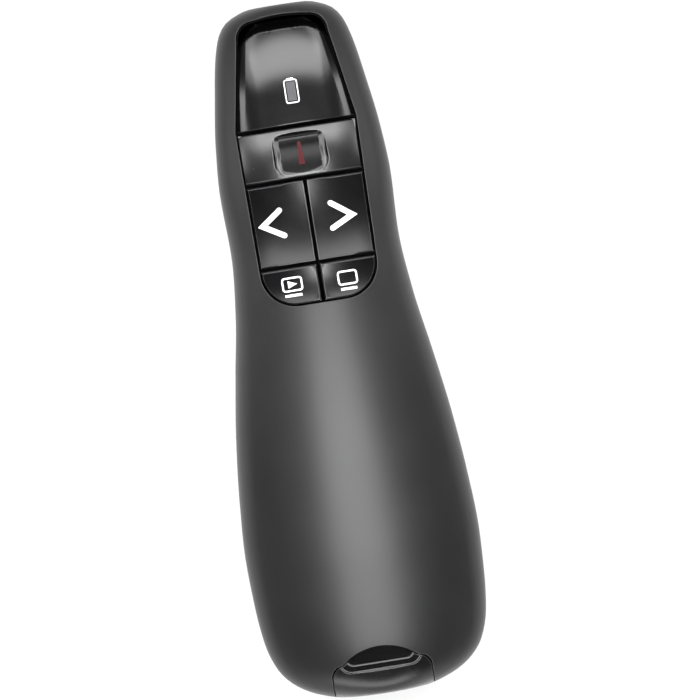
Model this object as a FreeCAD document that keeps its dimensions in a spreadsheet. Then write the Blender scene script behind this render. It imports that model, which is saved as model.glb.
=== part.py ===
# Wireless presentation clicker: a long two-part case with an inset key field, a laser module in the nose,
# two cells under a sliding door and a radio receiver that docks in the tail.
# Millimetres. Y runs along the case towards the nose, X across to the right, Z up.
# The origin is on the floor under the middle of the case, which lies on its belly.
import FreeCAD, Part
import math
import os
import re
import Sketcher
from FreeCAD import Placement, Rotation, Vector

# Driving sizes, in millimetres
SIZES = {
    # case
    "nose_length": 67.3,
    "tail_room": 13.2,
    "body_width": 42.4,
    "case_wall": 1.7,
    "lip_height": 1.0,
    "lip_inset": 1.0,
    "lip_play": 0.1,
    "crown_room": 3.5,
    "overrun": 30.0,
    # inset field of window and keys
    "nose_to_window": 2.1,
    "window_length": 19.5,
    "window_front_share": 0.373,
    "window_corner": 2.8,
    "window_bow": 0.5,
    "window_bevel": 1.4,
    "window_bevel_fall": 1.7,
    "window_brow": 1.7,
    "window_brow_fall": 0.9,
    "keys_front_share": 0.5,
    "keys_tail_share": 0.4835,
    "keys_corner": 6.0,
    "laser_key_length": 8.9,
    "arrow_key_length": 14.5,
    "screen_key_length": 6.6,
    "key_gap": 0.7,
    "rim_gap": 0.35,
    "inlay_drop": 0.25,
    "deck_rise": 4.1,
    "deck_thickness": 1.2,
    "key_float": 0.8,
    "key_hollow_wall": 1.6,
    "key_roof": 0.8,
    "key_chamfer": 0.25,
    "dish_radius": 34.0,
    "dish_depth": 0.85,
    "scoop_width": 10.4,
    "scoop_length": 8.0,
    "scoop_depth": 1.7,
    "scoop_flare": 0.9,
    "scoop_corner": 2.6,
    "mark_length": 4.0,
    "mark_width": 1.1,
    "mark_height": 0.5,
    # key stems, legs and switches
    "stem_half": 1.5,
    "stem_play": 0.2,
    "leg_width": 1.6,
    "leg_thickness": 0.8,
    "leg_inset": 0.9,
    "hook_reach": 0.5,
    "hook_height": 0.8,
    "hook_gap": 0.1,
    "switch_width": 6.0,
    "switch_height": 3.1,
    "switch_skin": 0.5,
    "plunger_half": 1.5,
    "plunger_reach": 0.8,
    "plunger_depth": 1.2,
    "plunger_play": 0.1,
    # board
    "board_drop": 1.7,
    "board_thickness": 1.6,
    "board_inset": 0.4,
    "board_nose_half": 6.4,
    "board_taper": 5.0,
    "board_tail_gap": 2.4,
    "board_nose_gap": 13.3,
    "board_hole_radius": 1.1,
    "board_screw_margin": 6.4,
    "post_half": 2.0,
    "chip_width": 7.0,
    "chip_height": 1.0,
    "radio_width": 4.0,
    "crystal_length": 3.2,
    "crystal_width": 2.5,
    "small_part_length": 1.6,
    "small_part_width": 0.8,
    "small_part_height": 0.6,
    # laser module
    "laser_radius": 2.8,
    "laser_length": 10.0,
    "laser_wall": 0.5,
    "laser_front_gap": 2.1,
    "lens_thickness": 1.0,
    "lens_inset": 0.4,
    "diode_radius": 2.2,
    "diode_length": 3.0,
    "lead_half": 0.22,
    "lead_spread": 1.2,
    "bezel_radius": 3.2,
    "bezel_bore": 1.7,
    "cradle_thickness": 1.6,
    "cradle_half": 4.6,
    "fit_play": 0.1,
    # window lamp
    "lamp_place": 2.6,
    "guide_radius": 1.3,
    # power switch
    "power_place": 30.7,
    "power_body_length": 6.6,
    "power_body_width": 2.8,
    "power_body_height": 1.4,
    "power_edge": 0.1,
    "lever_length": 1.5,
    "lever_reach": 1.5,
    "lever_height": 0.8,
    "power_travel": 2.0,
    "knob_length": 4.0,
    "knob_height": 1.8,
    "knob_flange": 0.7,
    "knob_lap": 1.5,
    "knob_sink": 0.45,
    # cells and door
    "cell_radius": 5.25,
    "cell_length": 44.5,
    "cell_nub_radius": 1.9,
    "cell_nub_length": 0.8,
    "cell_gap": 0.7,
    "cell_rise": 0.85,
    "cell_play": 0.25,
    "parting_rise": 0.8,
    "contact_gap": 1.0,
    "contact_thickness": 0.3,
    "contact_width": 7.0,
    "bump_half": 1.7,
    "bulkhead_thickness": 1.2,
    "door_gap": 0.2,
    "rail_width": 1.7,
    "shell_rail_width": 1.3,
    "tongue_rise": 1.0,
    "tongue_height": 1.0,
    "tongue_reach": 0.75,
    "tongue_cover": 0.9,
    "rail_tail_gap": 12.0,
    "latch_half": 4.0,
    "latch_reach": 2.0,
    "latch_height": 1.0,
    "grip_groove_depth": 0.4,
    "grip_groove_width": 0.9,
    "grip_groove_pitch": 2.0,
    "grip_groove_half": 6.0,
    # inner frame and dock
    "frame_thickness": 1.0,
    "frame_tail_gap": 2.6,
    "saddle_thickness": 1.4,
    "saddle_share": 0.9,
    "saddle_drop": 3.0,
    "dock_play": 0.2,
    "dock_wall": 1.2,
    "dock_wall_height": 4.0,
    # receiver
    "receiver_width": 16.8,
    "receiver_height": 7.2,
    "receiver_length": 33.5,
    "receiver_round": 1.0,
    "receiver_wall": 1.2,
    "notch_half": 9.07,
    "notch_side": 6.2,
    "notch_crest": 8.75,
    "notch_corner": 2.2,
    "grip_length": 4.9,
    "grip_play": 0.22,
    "grip_lap": 1.2,
    "bed_half": 7.6,
    "bed_inset": 4.4,
    "bed_corner": 2.2,
    "bed_flare": 0.25,
    "bed_ledge": 1.2,
    "bed_ledge_height": 1.0,
    "plug_width": 12.0,
    "plug_height": 4.5,
    "plug_length": 12.5,
    "plug_skin": 0.3,
    "plug_window": 2.5,
    "tongue_thickness": 1.8,
    "contact_length": 7.0,
    "contact_breadth": 1.0,
    "contact_pitch": 2.2,
    "contact_height": 0.2,
    # case screws
    "screw_radius": 1.0,
    "screw_head_radius": 1.9,
    "screw_head_height": 1.4,
    "boss_half": 2.4,
    "boss_floor": 2.0,
    "belly_screw_share": 0.769,
    "belly_screw_place": 26.5,
    "screw_end_gap": 0.5,
}

# Places worked out from the driving sizes
PLACES = {
    "body_length": "nose_length + cell_length + tail_room",
    "nose_y": "body_length / 2",
    "tail_y": "-body_length / 2",
    "half_width": "body_width / 2",
    "window_front_half": "half_width * window_front_share",
    "keys_front_half": "half_width * keys_front_share",
    "keys_tail_half": "half_width * keys_tail_share",
    "switch_side": "(keys_tail_half + key_gap / 2) / 2",
    "board_half": "keys_front_half - board_inset",
    "cell_z": "case_wall + cell_rise + cell_radius",
    "frame_z": "cell_z + cell_radius + cell_play",
    "parting": "frame_z + parting_rise",
    "frame_top": "frame_z + frame_thickness",
    "receiver_z": "frame_top + dock_play",
    "receiver_top": "receiver_z + receiver_height",
    "crown_height": "receiver_top - parting + crown_room + case_wall",
    "window_y": "nose_y - nose_to_window",
    "window_tail": "window_y - window_length",
    "laser_key_y": "window_tail - key_gap",
    "laser_key_tail": "laser_key_y - laser_key_length",
    "arrow_y": "laser_key_tail - key_gap",
    "arrow_tail": "arrow_y - arrow_key_length",
    "screen_y": "arrow_tail - key_gap",
    "screen_tail": "screen_y - screen_key_length",
    "laser_press_y": "(laser_key_y + laser_key_tail) / 2",
    "arrow_press_y": "(arrow_y + arrow_tail) / 2",
    "screen_press_y": "(screen_y + screen_tail) / 2",
    "deck_top": "parting + deck_rise",
    "deck_under": "deck_top - deck_thickness",
    "key_under": "deck_top + key_float",
    "board_top": "parting - board_drop",
    "board_under": "board_top - board_thickness",
    "switch_top": "board_top + switch_height",
    "plunger_top": "switch_top + plunger_reach",
    "bay_y": "nose_y - nose_length",
    "cell_front": "bay_y - contact_gap",
    "cell_tail": "cell_front - cell_length",
    "cell_x": "cell_radius + cell_gap / 2",
    "bulkhead_y": "bay_y + bulkhead_thickness",
    "door_half": "cell_x + cell_radius + cell_play + rail_width",
    "door_edge": "door_half + door_gap",
    "board_tail": "bulkhead_y + board_tail_gap - bulkhead_thickness",
    "board_nose": "nose_y - board_nose_gap",
    "laser_front": "nose_y - laser_front_gap",
    "laser_back": "laser_front - laser_length",
    "lens_radius": "laser_radius - laser_wall",
    "lamp_y": "board_nose - lamp_place",
    "receiver_half": "receiver_width / 2",
    "receiver_tail": "tail_y + grip_length - grip_lap",
    "receiver_front": "receiver_tail + receiver_length",
    "plug_front": "receiver_front + plug_length",
    "plug_z": "receiver_z + (receiver_height - plug_height) / 2",
    "power_y": "nose_y - power_place",
    "belly_screw_y": "tail_y + belly_screw_place",
    "belly_screw_x": "half_width * belly_screw_share",
}

# Each row is one cross-section: its place, and its half width, rise above the parting and drop below it, as
# shares of the largest half width, rise and drop. The nose rows give their place as a share of the nose length,
# back from the nose, and the tail rows as a share of the rest of the case.
NOSE_SHARES = (
    (0.0, 0.253, 0.42, 0.30),
    (0.0074, 0.342, 0.50, 0.36),
    (0.026, 0.457, 0.58, 0.43),
    (0.0557, 0.529, 0.63, 0.47),
    (0.1114, 0.586, 0.66, 0.50),
    (0.2229, 0.648, 0.70, 0.54),
    (0.3529, 0.705, 0.74, 0.56),
    (0.4829, 0.732, 0.79, 0.59),
    (0.6408, 0.717, 0.84, 0.69),
    (0.7987, 0.759, 0.90, 0.86),
    (0.9658, 0.844, 0.95, 1.00),
)
TAIL_SHARES = (
    (0.1551, 0.922, 0.985, 1.04),
    (0.3501, 0.975, 1.0, 1.05),
    (0.5234, 1.0, 1.0, 1.05),
    (0.6750, 0.985, 0.975, 1.045),
    (0.7942, 0.950, 0.93, 1.02),
    (0.8808, 0.872, 0.87, 0.95),
    (0.9393, 0.734, 0.79, 0.85),
    (0.9783, 0.533, 0.68, 0.70),
    (0.9957, 0.354, 0.57, 0.55),
    (1.0, 0.206, 0.46, 0.34),
)
# Sections that the hollow of the case follows, counted from the nose
HOLLOW_ROWS = (1, 3, 6, 8, 10, 13, 15, 17, 19)
# Where the side arc of a cross-section meets its crown arc, and its belly arc, in degrees from level
CROWN_MEETING = 50.0
BELLY_MEETING = 66.0
# Facets along the side arc and along half the middle arc of the crown, and of the belly
CROWN_FACETS = (5, 4)
BELLY_FACETS = (6, 3)
HOLLOW_FACETS = (2, 1)
# Saddle ribs over the cells, as shares of the cell's length from its tail end
SADDLE_SHARES = (0.2, 0.75)
# How many small parts are under the board, grooves on the door, ridges on the knob and contacts on the plug
SMALL_PARTS = 4
DOOR_GROOVES = 4
KNOB_GROOVES = 3
PLUG_CONTACTS = 4

AXIS_TURNS = {
    "x": Rotation(Vector(0, 1, 0), 90),
    "y": Rotation(Vector(1, 0, 0), -90),
    "z": Rotation(),
}

doc = FreeCAD.newDocument("Clicker")


def bind(text):
    """Lead each size name in an expression to the sheet, and each place name to the worked-out places."""

    def lead(match):
        word = match.group(0)
        if word in SIZES:
            return "Sizes." + word
        if word in PLACES:
            return "Places." + word
        return word

    return re.sub(r"[a-z][a-z_0-9]*", lead, text)


def write_sizes():
    """Fill the sheet with the driving sizes and work the places out from them."""
    sheet = doc.addObject("Spreadsheet::Sheet", "Sizes")
    for row, (alias, value) in enumerate(SIZES.items(), start=1):
        sheet.set(f"A{row}", alias)
        sheet.set(f"B{row}", str(value))
        sheet.setAlias(f"B{row}", alias)
    places = doc.addObject("App::VarSet", "Places")
    for alias, expression in PLACES.items():
        places.addProperty("App::PropertyFloat", alias)
        places.setExpression(alias, bind(expression))
    doc.recompute()


def size(alias):
    """The value of a size in the sheet or of a worked-out place."""
    if alias in PLACES:
        return float(getattr(doc.getObject("Places"), alias))
    return float(doc.getObject("Sizes").get(alias))


# Parametric building blocks, bound to the sheet


def block(name, x, y, z):
    """A box between two named places on each axis."""
    box = doc.addObject("Part::Box", name)
    for side, axis, (low, high) in (("Length", "x", x), ("Width", "y", y), ("Height", "z", z)):
        box.setExpression(side, bind(f"({high}) - ({low})"))
        box.setExpression(f"Placement.Base.{axis}", bind(low))
    return box


def rod(name, radius, along, start, length):
    """A round bar from a start point along one axis."""
    bar = doc.addObject("Part::Cylinder", name)
    bar.Placement = Placement(Vector(), AXIS_TURNS[along])
    bar.setExpression("Radius", bind(radius))
    bar.setExpression("Height", bind(length))
    for axis, place in zip("xyz", start):
        bar.setExpression(f"Placement.Base.{axis}", bind(place))
    return bar


def joined(name, parts):
    """Several solids fused into one."""
    union = doc.addObject("Part::MultiFuse", name)
    union.Shapes = parts
    return union


def cut(name, base, tools):
    """A solid with one or more tools taken out of it."""
    result = doc.addObject("Part::Cut", name)
    result.Base = base
    result.Tool = tools[0] if len(tools) == 1 else joined(name + "Tools", tools)
    return result


def group(name, parts):
    """Separate solids kept together as one node."""
    bundle = doc.addObject("Part::Compound", name)
    bundle.Links = parts
    return bundle


def shaped(name, shape):
    """A sub-part whose shape is worked out on the free form of the case."""
    feature = doc.addObject("Part::Feature", name)
    feature.Shape = shape
    return feature


def sketch_on(body, plane, name):
    """A sketch on one of a body's own origin planes."""
    sketch = body.newObject("Sketcher::SketchObject", name)
    support = [item for item in body.Origin.OriginFeatures if item.Role == plane][0]
    sketch.AttachmentSupport = [(support, "")]
    sketch.MapMode = "FlatFace"
    return sketch


def polygon(sketch, corners):
    """A closed outline whose every corner is bound to two expressions."""
    count = len(corners)
    first = len(sketch.Geometry)
    turns = [2 * math.pi * k / count for k in range(count)]
    ring = [Vector(math.cos(turn), math.sin(turn), 0) for turn in turns]
    for k in range(count):
        sketch.addGeometry(Part.LineSegment(ring[k], ring[(k + 1) % count]), False)
    for k in range(count):
        sketch.addConstraint(Sketcher.Constraint("Coincident", first + k, 2, first + (k + 1) % count, 1))
    for k, corner in enumerate(corners):
        for kind, expression in zip(("DistanceX", "DistanceY"), corner):
            here = getattr(ring[k], "x" if kind == "DistanceX" else "y")
            index = sketch.addConstraint(Sketcher.Constraint(kind, -1, 1, first + k, 1, here))
            sketch.setExpression(f"Constraints[{index}]", bind(expression))


def circle(sketch, x, y, radius):
    """A circle whose centre and radius are bound to expressions."""
    index = sketch.addGeometry(Part.Circle(Vector(1, 1, 0), Vector(0, 0, 1), 1), False)
    for kind, expression in (("DistanceX", x), ("DistanceY", y)):
        place = sketch.addConstraint(Sketcher.Constraint(kind, -1, 1, index, 3, 1.0))
        sketch.setExpression(f"Constraints[{place}]", bind(expression))
    width = sketch.addConstraint(Sketcher.Constraint("Radius", index, 1.0))
    sketch.setExpression(f"Constraints[{width}]", bind(radius))


def place_body(body, x="0", y="0", z="0", turn=Rotation()):
    """Stand a body at a named place."""
    body.Placement = Placement(Vector(), turn)
    for axis, expression in zip("xyz", (x, y, z)):
        body.setExpression(f"Placement.Base.{axis}", bind(expression))


def padded(name, corners, height, holes=()):
    """A body padded up from one outline with round holes through it."""
    body = doc.addObject("PartDesign::Body", name)
    outline = sketch_on(body, "XY_Plane", name + "Outline")
    polygon(outline, corners)
    for hole in holes:
        circle(outline, *hole)
    pad = body.newObject("PartDesign::Pad", name + "Pad")
    pad.Profile = outline
    pad.setExpression("Length", bind(height))
    return body


def turned(name, profile):
    """A body turned about its own Z axis from a profile of radius and height."""
    body = doc.addObject("PartDesign::Body", name)
    outline = sketch_on(body, "XZ_Plane", name + "Profile")
    polygon(outline, profile)
    spin = body.newObject("PartDesign::Revolution", name + "Turn")
    spin.Profile = outline
    spin.ReferenceAxis = (outline, ["V_Axis"])
    spin.Angle = 360.0
    return body


# The free form of the case


def sections(inset=0.0, floor=None):
    """Place, half width, rise and drop of each cross-section, drawn in by an inset on every side."""
    nose, middle, tail = size("nose_y") - inset, size("bay_y"), size("tail_y") + inset
    rows = [(nose + (middle - nose) * along, *shares) for along, *shares in NOSE_SHARES]
    rows += [(middle + (tail - middle) * along, *shares) for along, *shares in TAIL_SHARES]
    found = []
    for place, half, rise, drop in rows:
        depth = drop * size("parting")
        if floor is not None:
            depth = min(depth, floor)
        across = half * size("half_width") - inset
        found.append((place, across, rise * size("crown_height") - inset, depth - inset))
    return found


def arch_radii(half, rise, meeting):
    """Radii of the side arc and the crown arc of a three-centred arch that meet at a fixed angle."""
    turn = math.radians(meeting)
    between = (half - rise) / (math.cos(turn) + math.sin(turn) - 1)
    side = half - between * math.cos(turn)
    return side, side + between


def arch_point(half, rise, meeting, turn):
    """The point of an arch at an angle from level: how far out and how far up."""
    side, crown = arch_radii(half, rise, meeting)
    if turn <= meeting:
        radians = math.radians(turn)
        return half - side + side * math.cos(radians), side * math.sin(radians)
    radians = math.radians(turn)
    return crown * math.cos(radians), rise - crown + crown * math.sin(radians)


def ring_at(row, crown_turns, belly_turns):
    """Corner points of one cross-section, once round from the right parting point over the crown."""
    place, half, rise, drop = row
    parting = size("parting")
    ring = []
    upper = (rise, CROWN_MEETING, crown_turns, 1)
    lower = (drop, BELLY_MEETING, belly_turns, -1)
    for height, meeting, turns, up in (upper, lower):
        right = [arch_point(half, height, meeting, turn) for turn in turns]
        quarter = [Vector(out, place, parting + up * high) for out, high in right]
        arc = quarter + [Vector(-spot.x, spot.y, spot.z) for spot in quarter[-2::-1]]
        ring += arc[:-1] if up > 0 else arc[:0:-1]
    return ring


def skinned(rings):
    """A solid of flat facets between rings of corners; the same angles in every ring keep each facet flat."""
    faces = [Part.Face(Part.makePolygon(ring + ring[:1])) for ring in (rings[0], rings[-1])]
    count = len(rings[0])
    for here, there in zip(rings, rings[1:]):
        for k in range(count):
            following = (k + 1) % count
            corners = [here[k], here[following], there[following], there[k]]
            faces.append(Part.Face(Part.makePolygon(corners + corners[:1])))
    shell = Part.makeShell(faces)
    shell.sewShape()
    solid = Part.makeSolid(shell)
    return solid if solid.Volume > 0 else solid.reversed()


def turns_between(meeting, side_facets, middle_facets):
    """Angles that split an arch's side arc and half its middle arc into equal facets."""
    side = [meeting * k / side_facets for k in range(side_facets)]
    middle = [meeting + (90 - meeting) * k / middle_facets for k in range(middle_facets + 1)]
    return side + middle


def body_form(inset=0.0):
    """The outer form of the case as one solid, drawn in by an inset."""
    crown_turns = turns_between(CROWN_MEETING, *CROWN_FACETS)
    belly_turns = turns_between(BELLY_MEETING, *BELLY_FACETS)
    return skinned([ring_at(row, crown_turns, belly_turns) for row in sections(inset)])


def hollow_form(play=0.0):
    """The hollow of the case: broad facets set in from the outer form by at least the wall and a play."""
    rows = sections(size("case_wall") + play, size("parting") + play)
    crown_turns = turns_between(CROWN_MEETING, *HOLLOW_FACETS)
    belly_turns = turns_between(BELLY_MEETING, *HOLLOW_FACETS)
    return skinned([ring_at(rows[index], crown_turns, belly_turns) for index in HOLLOW_ROWS])


def cell_bores():
    """The round beds of the two cells, with their play, run on to the contacts at both ends."""
    reach = size("contact_gap")
    bores = []
    for side in (-1, 1):
        start = Vector(side * size("cell_x"), size("cell_tail") - reach, size("cell_z"))
        length = size("cell_length") + 2 * reach
        bores.append(pin(size("cell_radius") + size("cell_play"), start, length, Vector(0, 1, 0)))
    return bores


def dock_room():
    """The room that the receiver slides in."""
    play = size("dock_play")
    half = size("receiver_half") + play
    y = (size("receiver_tail"), size("receiver_front") + play)
    return slab((-half, half), y, (size("frame_top"), size("receiver_top") + play))


def section_at(place):
    """Half width, rise and drop of the outer form at a place along the case."""
    rows = sections()
    for before, after in zip(rows, rows[1:]):
        if after[0] <= place <= before[0]:
            part = (before[0] - place) / (before[0] - after[0])
            return [a + (b - a) * part for a, b in zip(before[1:], after[1:])]
    return rows[-1][1:]


def arch_height(half, rise, meeting, out):
    """How far an arch stands over its base line at a distance out from its middle."""
    side, crown = arch_radii(half, rise, meeting)
    meets = half - side + side * math.cos(math.radians(meeting))
    if out > meets:
        return math.sqrt(side * side - (out - half + side) ** 2)
    return rise - crown + math.sqrt(crown * crown - out * out)


def crown_at(place, out=0.0):
    """Height of the outer form's top over a point of the plan."""
    half, rise, drop = section_at(place)
    return size("parting") + arch_height(half, rise, CROWN_MEETING, out)


def belly_at(place, out=0.0):
    """Height of the outer form's underside over a point of the plan."""
    half, rise, drop = section_at(place)
    return size("parting") - arch_height(half, drop, BELLY_MEETING, out)


def plan_prism(inset, low, high):
    """The plan outline of the case at the parting, drawn in and raised between two heights."""
    rows = sections(inset)
    right = [Vector(half, place, low) for place, half, rise, drop in rows]
    left = [Vector(-spot.x, spot.y, spot.z) for spot in reversed(right)]
    ring = right + left
    return Part.Face(Part.makePolygon(ring + ring[:1])).extrude(Vector(0, 0, high - low))


def slab(x, y, z):
    """A plain box between pairs of coordinates."""
    corner = Vector(x[0], y[0], z[0])
    return Part.makeBox(x[1] - x[0], y[1] - y[0], z[1] - z[0], corner)


def pin(radius, start, length, along=Vector(0, 0, 1)):
    """A plain cylinder from a start point."""
    return Part.makeCylinder(radius, length, start, along)


def post(x, y, half, low, high):
    """A square post between two heights."""
    return slab((x - half, x + half), (y - half, y + half), (low, high))


def mirrored(shape):
    """The same shape on the other side of the middle plane."""
    return shape.mirror(Vector(), Vector(1, 0, 0))


# The inset field of window and keys


def field_prism(grow, low, high):
    """The outline of the inset field, grown by a gap and raised between two heights."""
    corner = size("window_corner")
    half = size("window_front_half")
    front = size("window_y")
    side_y = front - size("window_bow") - corner
    tail = size("screen_tail")
    round_tail = size("keys_corner")
    tail_half = size("keys_tail_half")
    diagonal = math.sqrt(0.5)

    def spot(x, y):
        return Vector(x, y, low)

    tip = spot(half - corner, side_y + corner + grow)
    tip_mid = spot(half - corner + (corner + grow) * diagonal, side_y + (corner + grow) * diagonal)
    side = spot(half + grow, side_y)
    wide = spot(size("keys_front_half") + grow, size("window_tail"))
    low_side = spot(tail_half + grow, tail + round_tail)
    step = (round_tail + grow) * diagonal
    low_mid = spot(tail_half - round_tail + step, tail + round_tail - step)
    low_end = spot(tail_half - round_tail, tail - grow)

    def left(point):
        return Vector(-point.x, point.y, point.z)

    edges = [
        Part.Arc(left(tip), spot(0, front + grow), tip).toShape(),
        Part.Arc(tip, tip_mid, side).toShape(),
        Part.LineSegment(side, wide).toShape(),
        Part.LineSegment(wide, low_side).toShape(),
        Part.Arc(low_side, low_mid, low_end).toShape(),
        Part.LineSegment(low_end, left(low_end)).toShape(),
        Part.Arc(left(low_end), left(low_mid), left(low_side)).toShape(),
        Part.LineSegment(left(low_side), left(wide)).toShape(),
        Part.LineSegment(left(wide), left(side)).toShape(),
        Part.Arc(left(side), left(tip_mid), left(tip)).toShape(),
    ]
    return Part.Face(Part.Wire(edges)).extrude(Vector(0, 0, high - low))


def inlay_axis(front, tail):
    """Radius and axis ends of the cylinder that crowns the window or the keys, just under the case's crown."""
    radii = [arch_radii(*section_at(place)[:2], CROWN_MEETING)[1] for place in (front, tail)]
    radius = sum(radii) / len(radii)
    ends = [Vector(0, place, crown_at(place) - size("inlay_drop") - radius) for place in (front, tail)]
    return radius, ends


def inlay_crown(front, tail):
    """The round crown of the window or of the keys, as a long cylinder."""
    radius, (end, start) = inlay_axis(front, tail)
    along = end - start
    reach = size("overrun")
    direction = Vector(along).normalize()
    return pin(radius, start - direction * reach, along.Length + 2 * reach, direction)


def key_blank(x, y, legs):
    """One key: its cap under the shared crown, hollowed from below, with a stem and two hooked legs."""
    under = size("key_under")
    top = size("parting") + size("overrun")
    wall = size("key_hollow_wall")
    cell = slab(x, y, (under, top))
    crown = inlay_crown(size("laser_key_y"), size("screen_tail"))
    cap = field_prism(0.0, under, top).common(cell).common(crown)
    reach = size("key_chamfer")
    crown_face = max(cap.Faces, key=lambda face: face.CenterOfMass.z)
    cap = cap.makeChamfer(reach, crown_face.Edges)
    corner_z = min(v.Z for v in cap.Vertexes if v.Z > under + reach)
    roof = corner_z - size("key_roof")
    hollow = slab((x[0] + wall, x[1] - wall), (y[0] + wall, y[1] - wall), (under - wall, roof))
    cap = cap.cut(hollow)
    middle = Vector((x[0] + x[1]) / 2, (y[0] + y[1]) / 2, 0)
    if x[0] * x[1] > 0:
        middle.x = math.copysign(size("switch_side"), middle.x)
    foot = size("plunger_top")
    half = size("stem_half")
    stem = slab((middle.x - half, middle.x + half), (middle.y - half, middle.y + half), (foot, roof + reach))
    cap = cap.fuse(stem)
    for leg_x, leg_y, outward in legs:
        cap = cap.fuse(hooked_leg(leg_x, leg_y, outward, roof + reach))
    return cap.removeSplitter()


def hooked_leg(x, y, outward, top):
    """A leg through the deck whose hook stops the key from coming out."""
    width = size("leg_width")
    thick = size("leg_thickness")
    catch = size("deck_under") - size("hook_gap")
    low = catch - size("hook_height")
    leg = slab((x - thick / 2, x + thick / 2), (y - width / 2, y + width / 2), (low, top))
    start = x + outward * thick / 2
    hook_x = sorted((start, start + outward * size("hook_reach")))
    hook = slab(hook_x, (y - width / 2, y + width / 2), (low, catch))
    return leg.fuse(hook)


def key_cells():
    """Each key's plan cell, with the places of its two legs."""
    side = size("keys_front_half") + size("rim_gap")
    half_gap = size("key_gap") / 2
    inset = size("leg_inset") + size("leg_thickness") / 2
    outer = size("keys_tail_half") - inset
    lower = size("switch_side") + size("switch_width") / 2 - size("leg_thickness") / 2
    laser_y = size("laser_press_y")
    arrow = (size("arrow_tail"), size("arrow_y"))
    screen = (size("screen_tail"), size("screen_y"))
    arrow_leg = size("arrow_press_y") + size("switch_width") / 2 + size("leg_width")
    screen_leg = size("screen_press_y")
    cells = {
        "laser": ((-side, side), (size("laser_key_tail"), size("laser_key_y")),
                  [(-outer, laser_y, 1), (outer, laser_y, -1)]),
        "back": ((-side, -half_gap), arrow, [(-outer, arrow_leg, 1), (-half_gap - inset, arrow_leg, -1)]),
        "next": ((half_gap, side), arrow, [(half_gap + inset, arrow_leg, 1), (outer, arrow_leg, -1)]),
        "slideshow": ((-side, -half_gap), screen,
                      [(-lower, screen_leg, 1), (-half_gap - inset, screen_leg, -1)]),
        "blank": ((half_gap, side), screen,
                  [(half_gap + inset, screen_leg, 1), (lower, screen_leg, -1)]),
    }
    return cells


def dish(x):
    """The shallow bowl pressed into an arrow key."""
    y = size("arrow_press_y")
    top = crown_at(y, abs(x)) - size("inlay_drop")
    radius = size("dish_radius")
    return Part.makeSphere(radius, Vector(x, y, top - size("dish_depth") + radius), Vector(0, 1, 0))


def rounded_wire(half_x, half_y, corner, middle_y, height):
    """A rectangle with round corners, lying flat at a height."""
    diagonal = corner * (1 - math.sqrt(0.5))

    def spot(x, y):
        return Vector(x, middle_y + y, height)

    edges = []
    for sx, sy in ((1, 1), (-1, 1), (-1, -1), (1, -1)):
        before = spot(sx * half_x, sy * (half_y - corner))
        middle = spot(sx * (half_x - diagonal), sy * (half_y - diagonal))
        after = spot(sx * (half_x - corner), sy * half_y)
        turn = [before, middle, after] if sx * sy > 0 else [after, middle, before]
        edges.append(Part.Arc(*turn).toShape())
        ends = turn[2]
        following = {(1, 1): (-1, 1), (-1, 1): (-1, -1), (-1, -1): (1, -1), (1, -1): (1, 1)}[(sx, sy)]
        nx, ny = following
        if nx * ny > 0:
            start = spot(nx * half_x, ny * (half_y - corner))
        else:
            start = spot(nx * (half_x - corner), ny * half_y)
        edges.append(Part.LineSegment(ends, start).toShape())
    return Part.Wire(edges)


def scoop():
    """The thumb bed of the laser key: a trough across the key inside a rounded opening that flares upwards."""
    y = size("laser_press_y")
    top = crown_at(y) - size("inlay_drop")
    depth = size("scoop_depth")
    half_length = size("scoop_length") / 2
    flare = size("scoop_flare")
    corner = size("scoop_corner")
    half_width = size("scoop_width") / 2
    opening = Part.makeLoft([
        rounded_wire(half_width - flare, half_length, corner, y, top - depth),
        rounded_wire(half_width + flare, half_length, corner, y, top + depth),
    ], True, True)
    radius = (half_length * half_length + depth * depth) / (2 * depth)
    trough = pin(radius, Vector(-half_width * 2, y, top - depth + radius), half_width * 4, Vector(1, 0, 0))
    return opening.common(trough)


def build_keys():
    """The five keys, each on its own switch."""
    cells = key_cells()
    nodes = {}
    for name, (x, y, legs) in cells.items():
        cap = key_blank(x, y, legs)
        if name == "laser":
            cap = cap.cut(scoop())
        if name in ("back", "next"):
            cap = cap.cut(dish((x[0] + x[1]) / 2))
        nodes[f"{name}_button"] = shaped(f"{name.title()}Button", cap)
    return nodes


def build_laser_mark():
    """The narrow wedge inlaid in the thumb bed of the laser key."""
    y = size("laser_press_y")
    top = crown_at(y) - size("inlay_drop") - size("scoop_depth")
    half = size("mark_width") / 2
    length = size("mark_length")
    reach = size("mark_height")
    corners = [Vector(-half, y - length / 2, top - reach), Vector(half, y - length / 2, top - reach),
               Vector(half / 2, y + length / 2, top - reach), Vector(-half / 2, y + length / 2, top - reach)]
    wedge = Part.Face(Part.makePolygon(corners + corners[:1])).extrude(Vector(0, 0, reach + size("inlay_drop")))
    key = doc.getObject("LaserButton")
    key.Shape = key.Shape.cut(wedge)
    return {"laser_mark": shaped("LaserMark", wedge)}


def side_bevel():
    """What the bevel along the window's right side takes off: all that lies above its sloping face."""
    front = size("window_y") - size("window_corner")
    tail = size("window_tail")
    radius, ends = inlay_axis(front, tail)
    slope = size("window_bevel_fall") / size("window_bevel")
    far = size("half_width")
    high = size("parting") + size("overrun")
    rings = []
    inner = [size("window_front_half") - size("window_bevel"), size("keys_front_half") - size("window_bevel")]
    heights = [axis.z + math.sqrt(radius * radius - x * x) for axis, x in zip(ends, inner)]
    lead = size("overrun") / (front - tail)
    for share in (-lead, 1 + lead):
        x = inner[0] + (inner[1] - inner[0]) * share
        y = front + (tail - front) * share
        z = heights[0] + (heights[1] - heights[0]) * share
        out = x + far
        rings.append([Vector(x, y, z), Vector(out, y, z - far * slope), Vector(out, y, high), Vector(x, y, high)])
    return skinned(rings)


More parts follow.
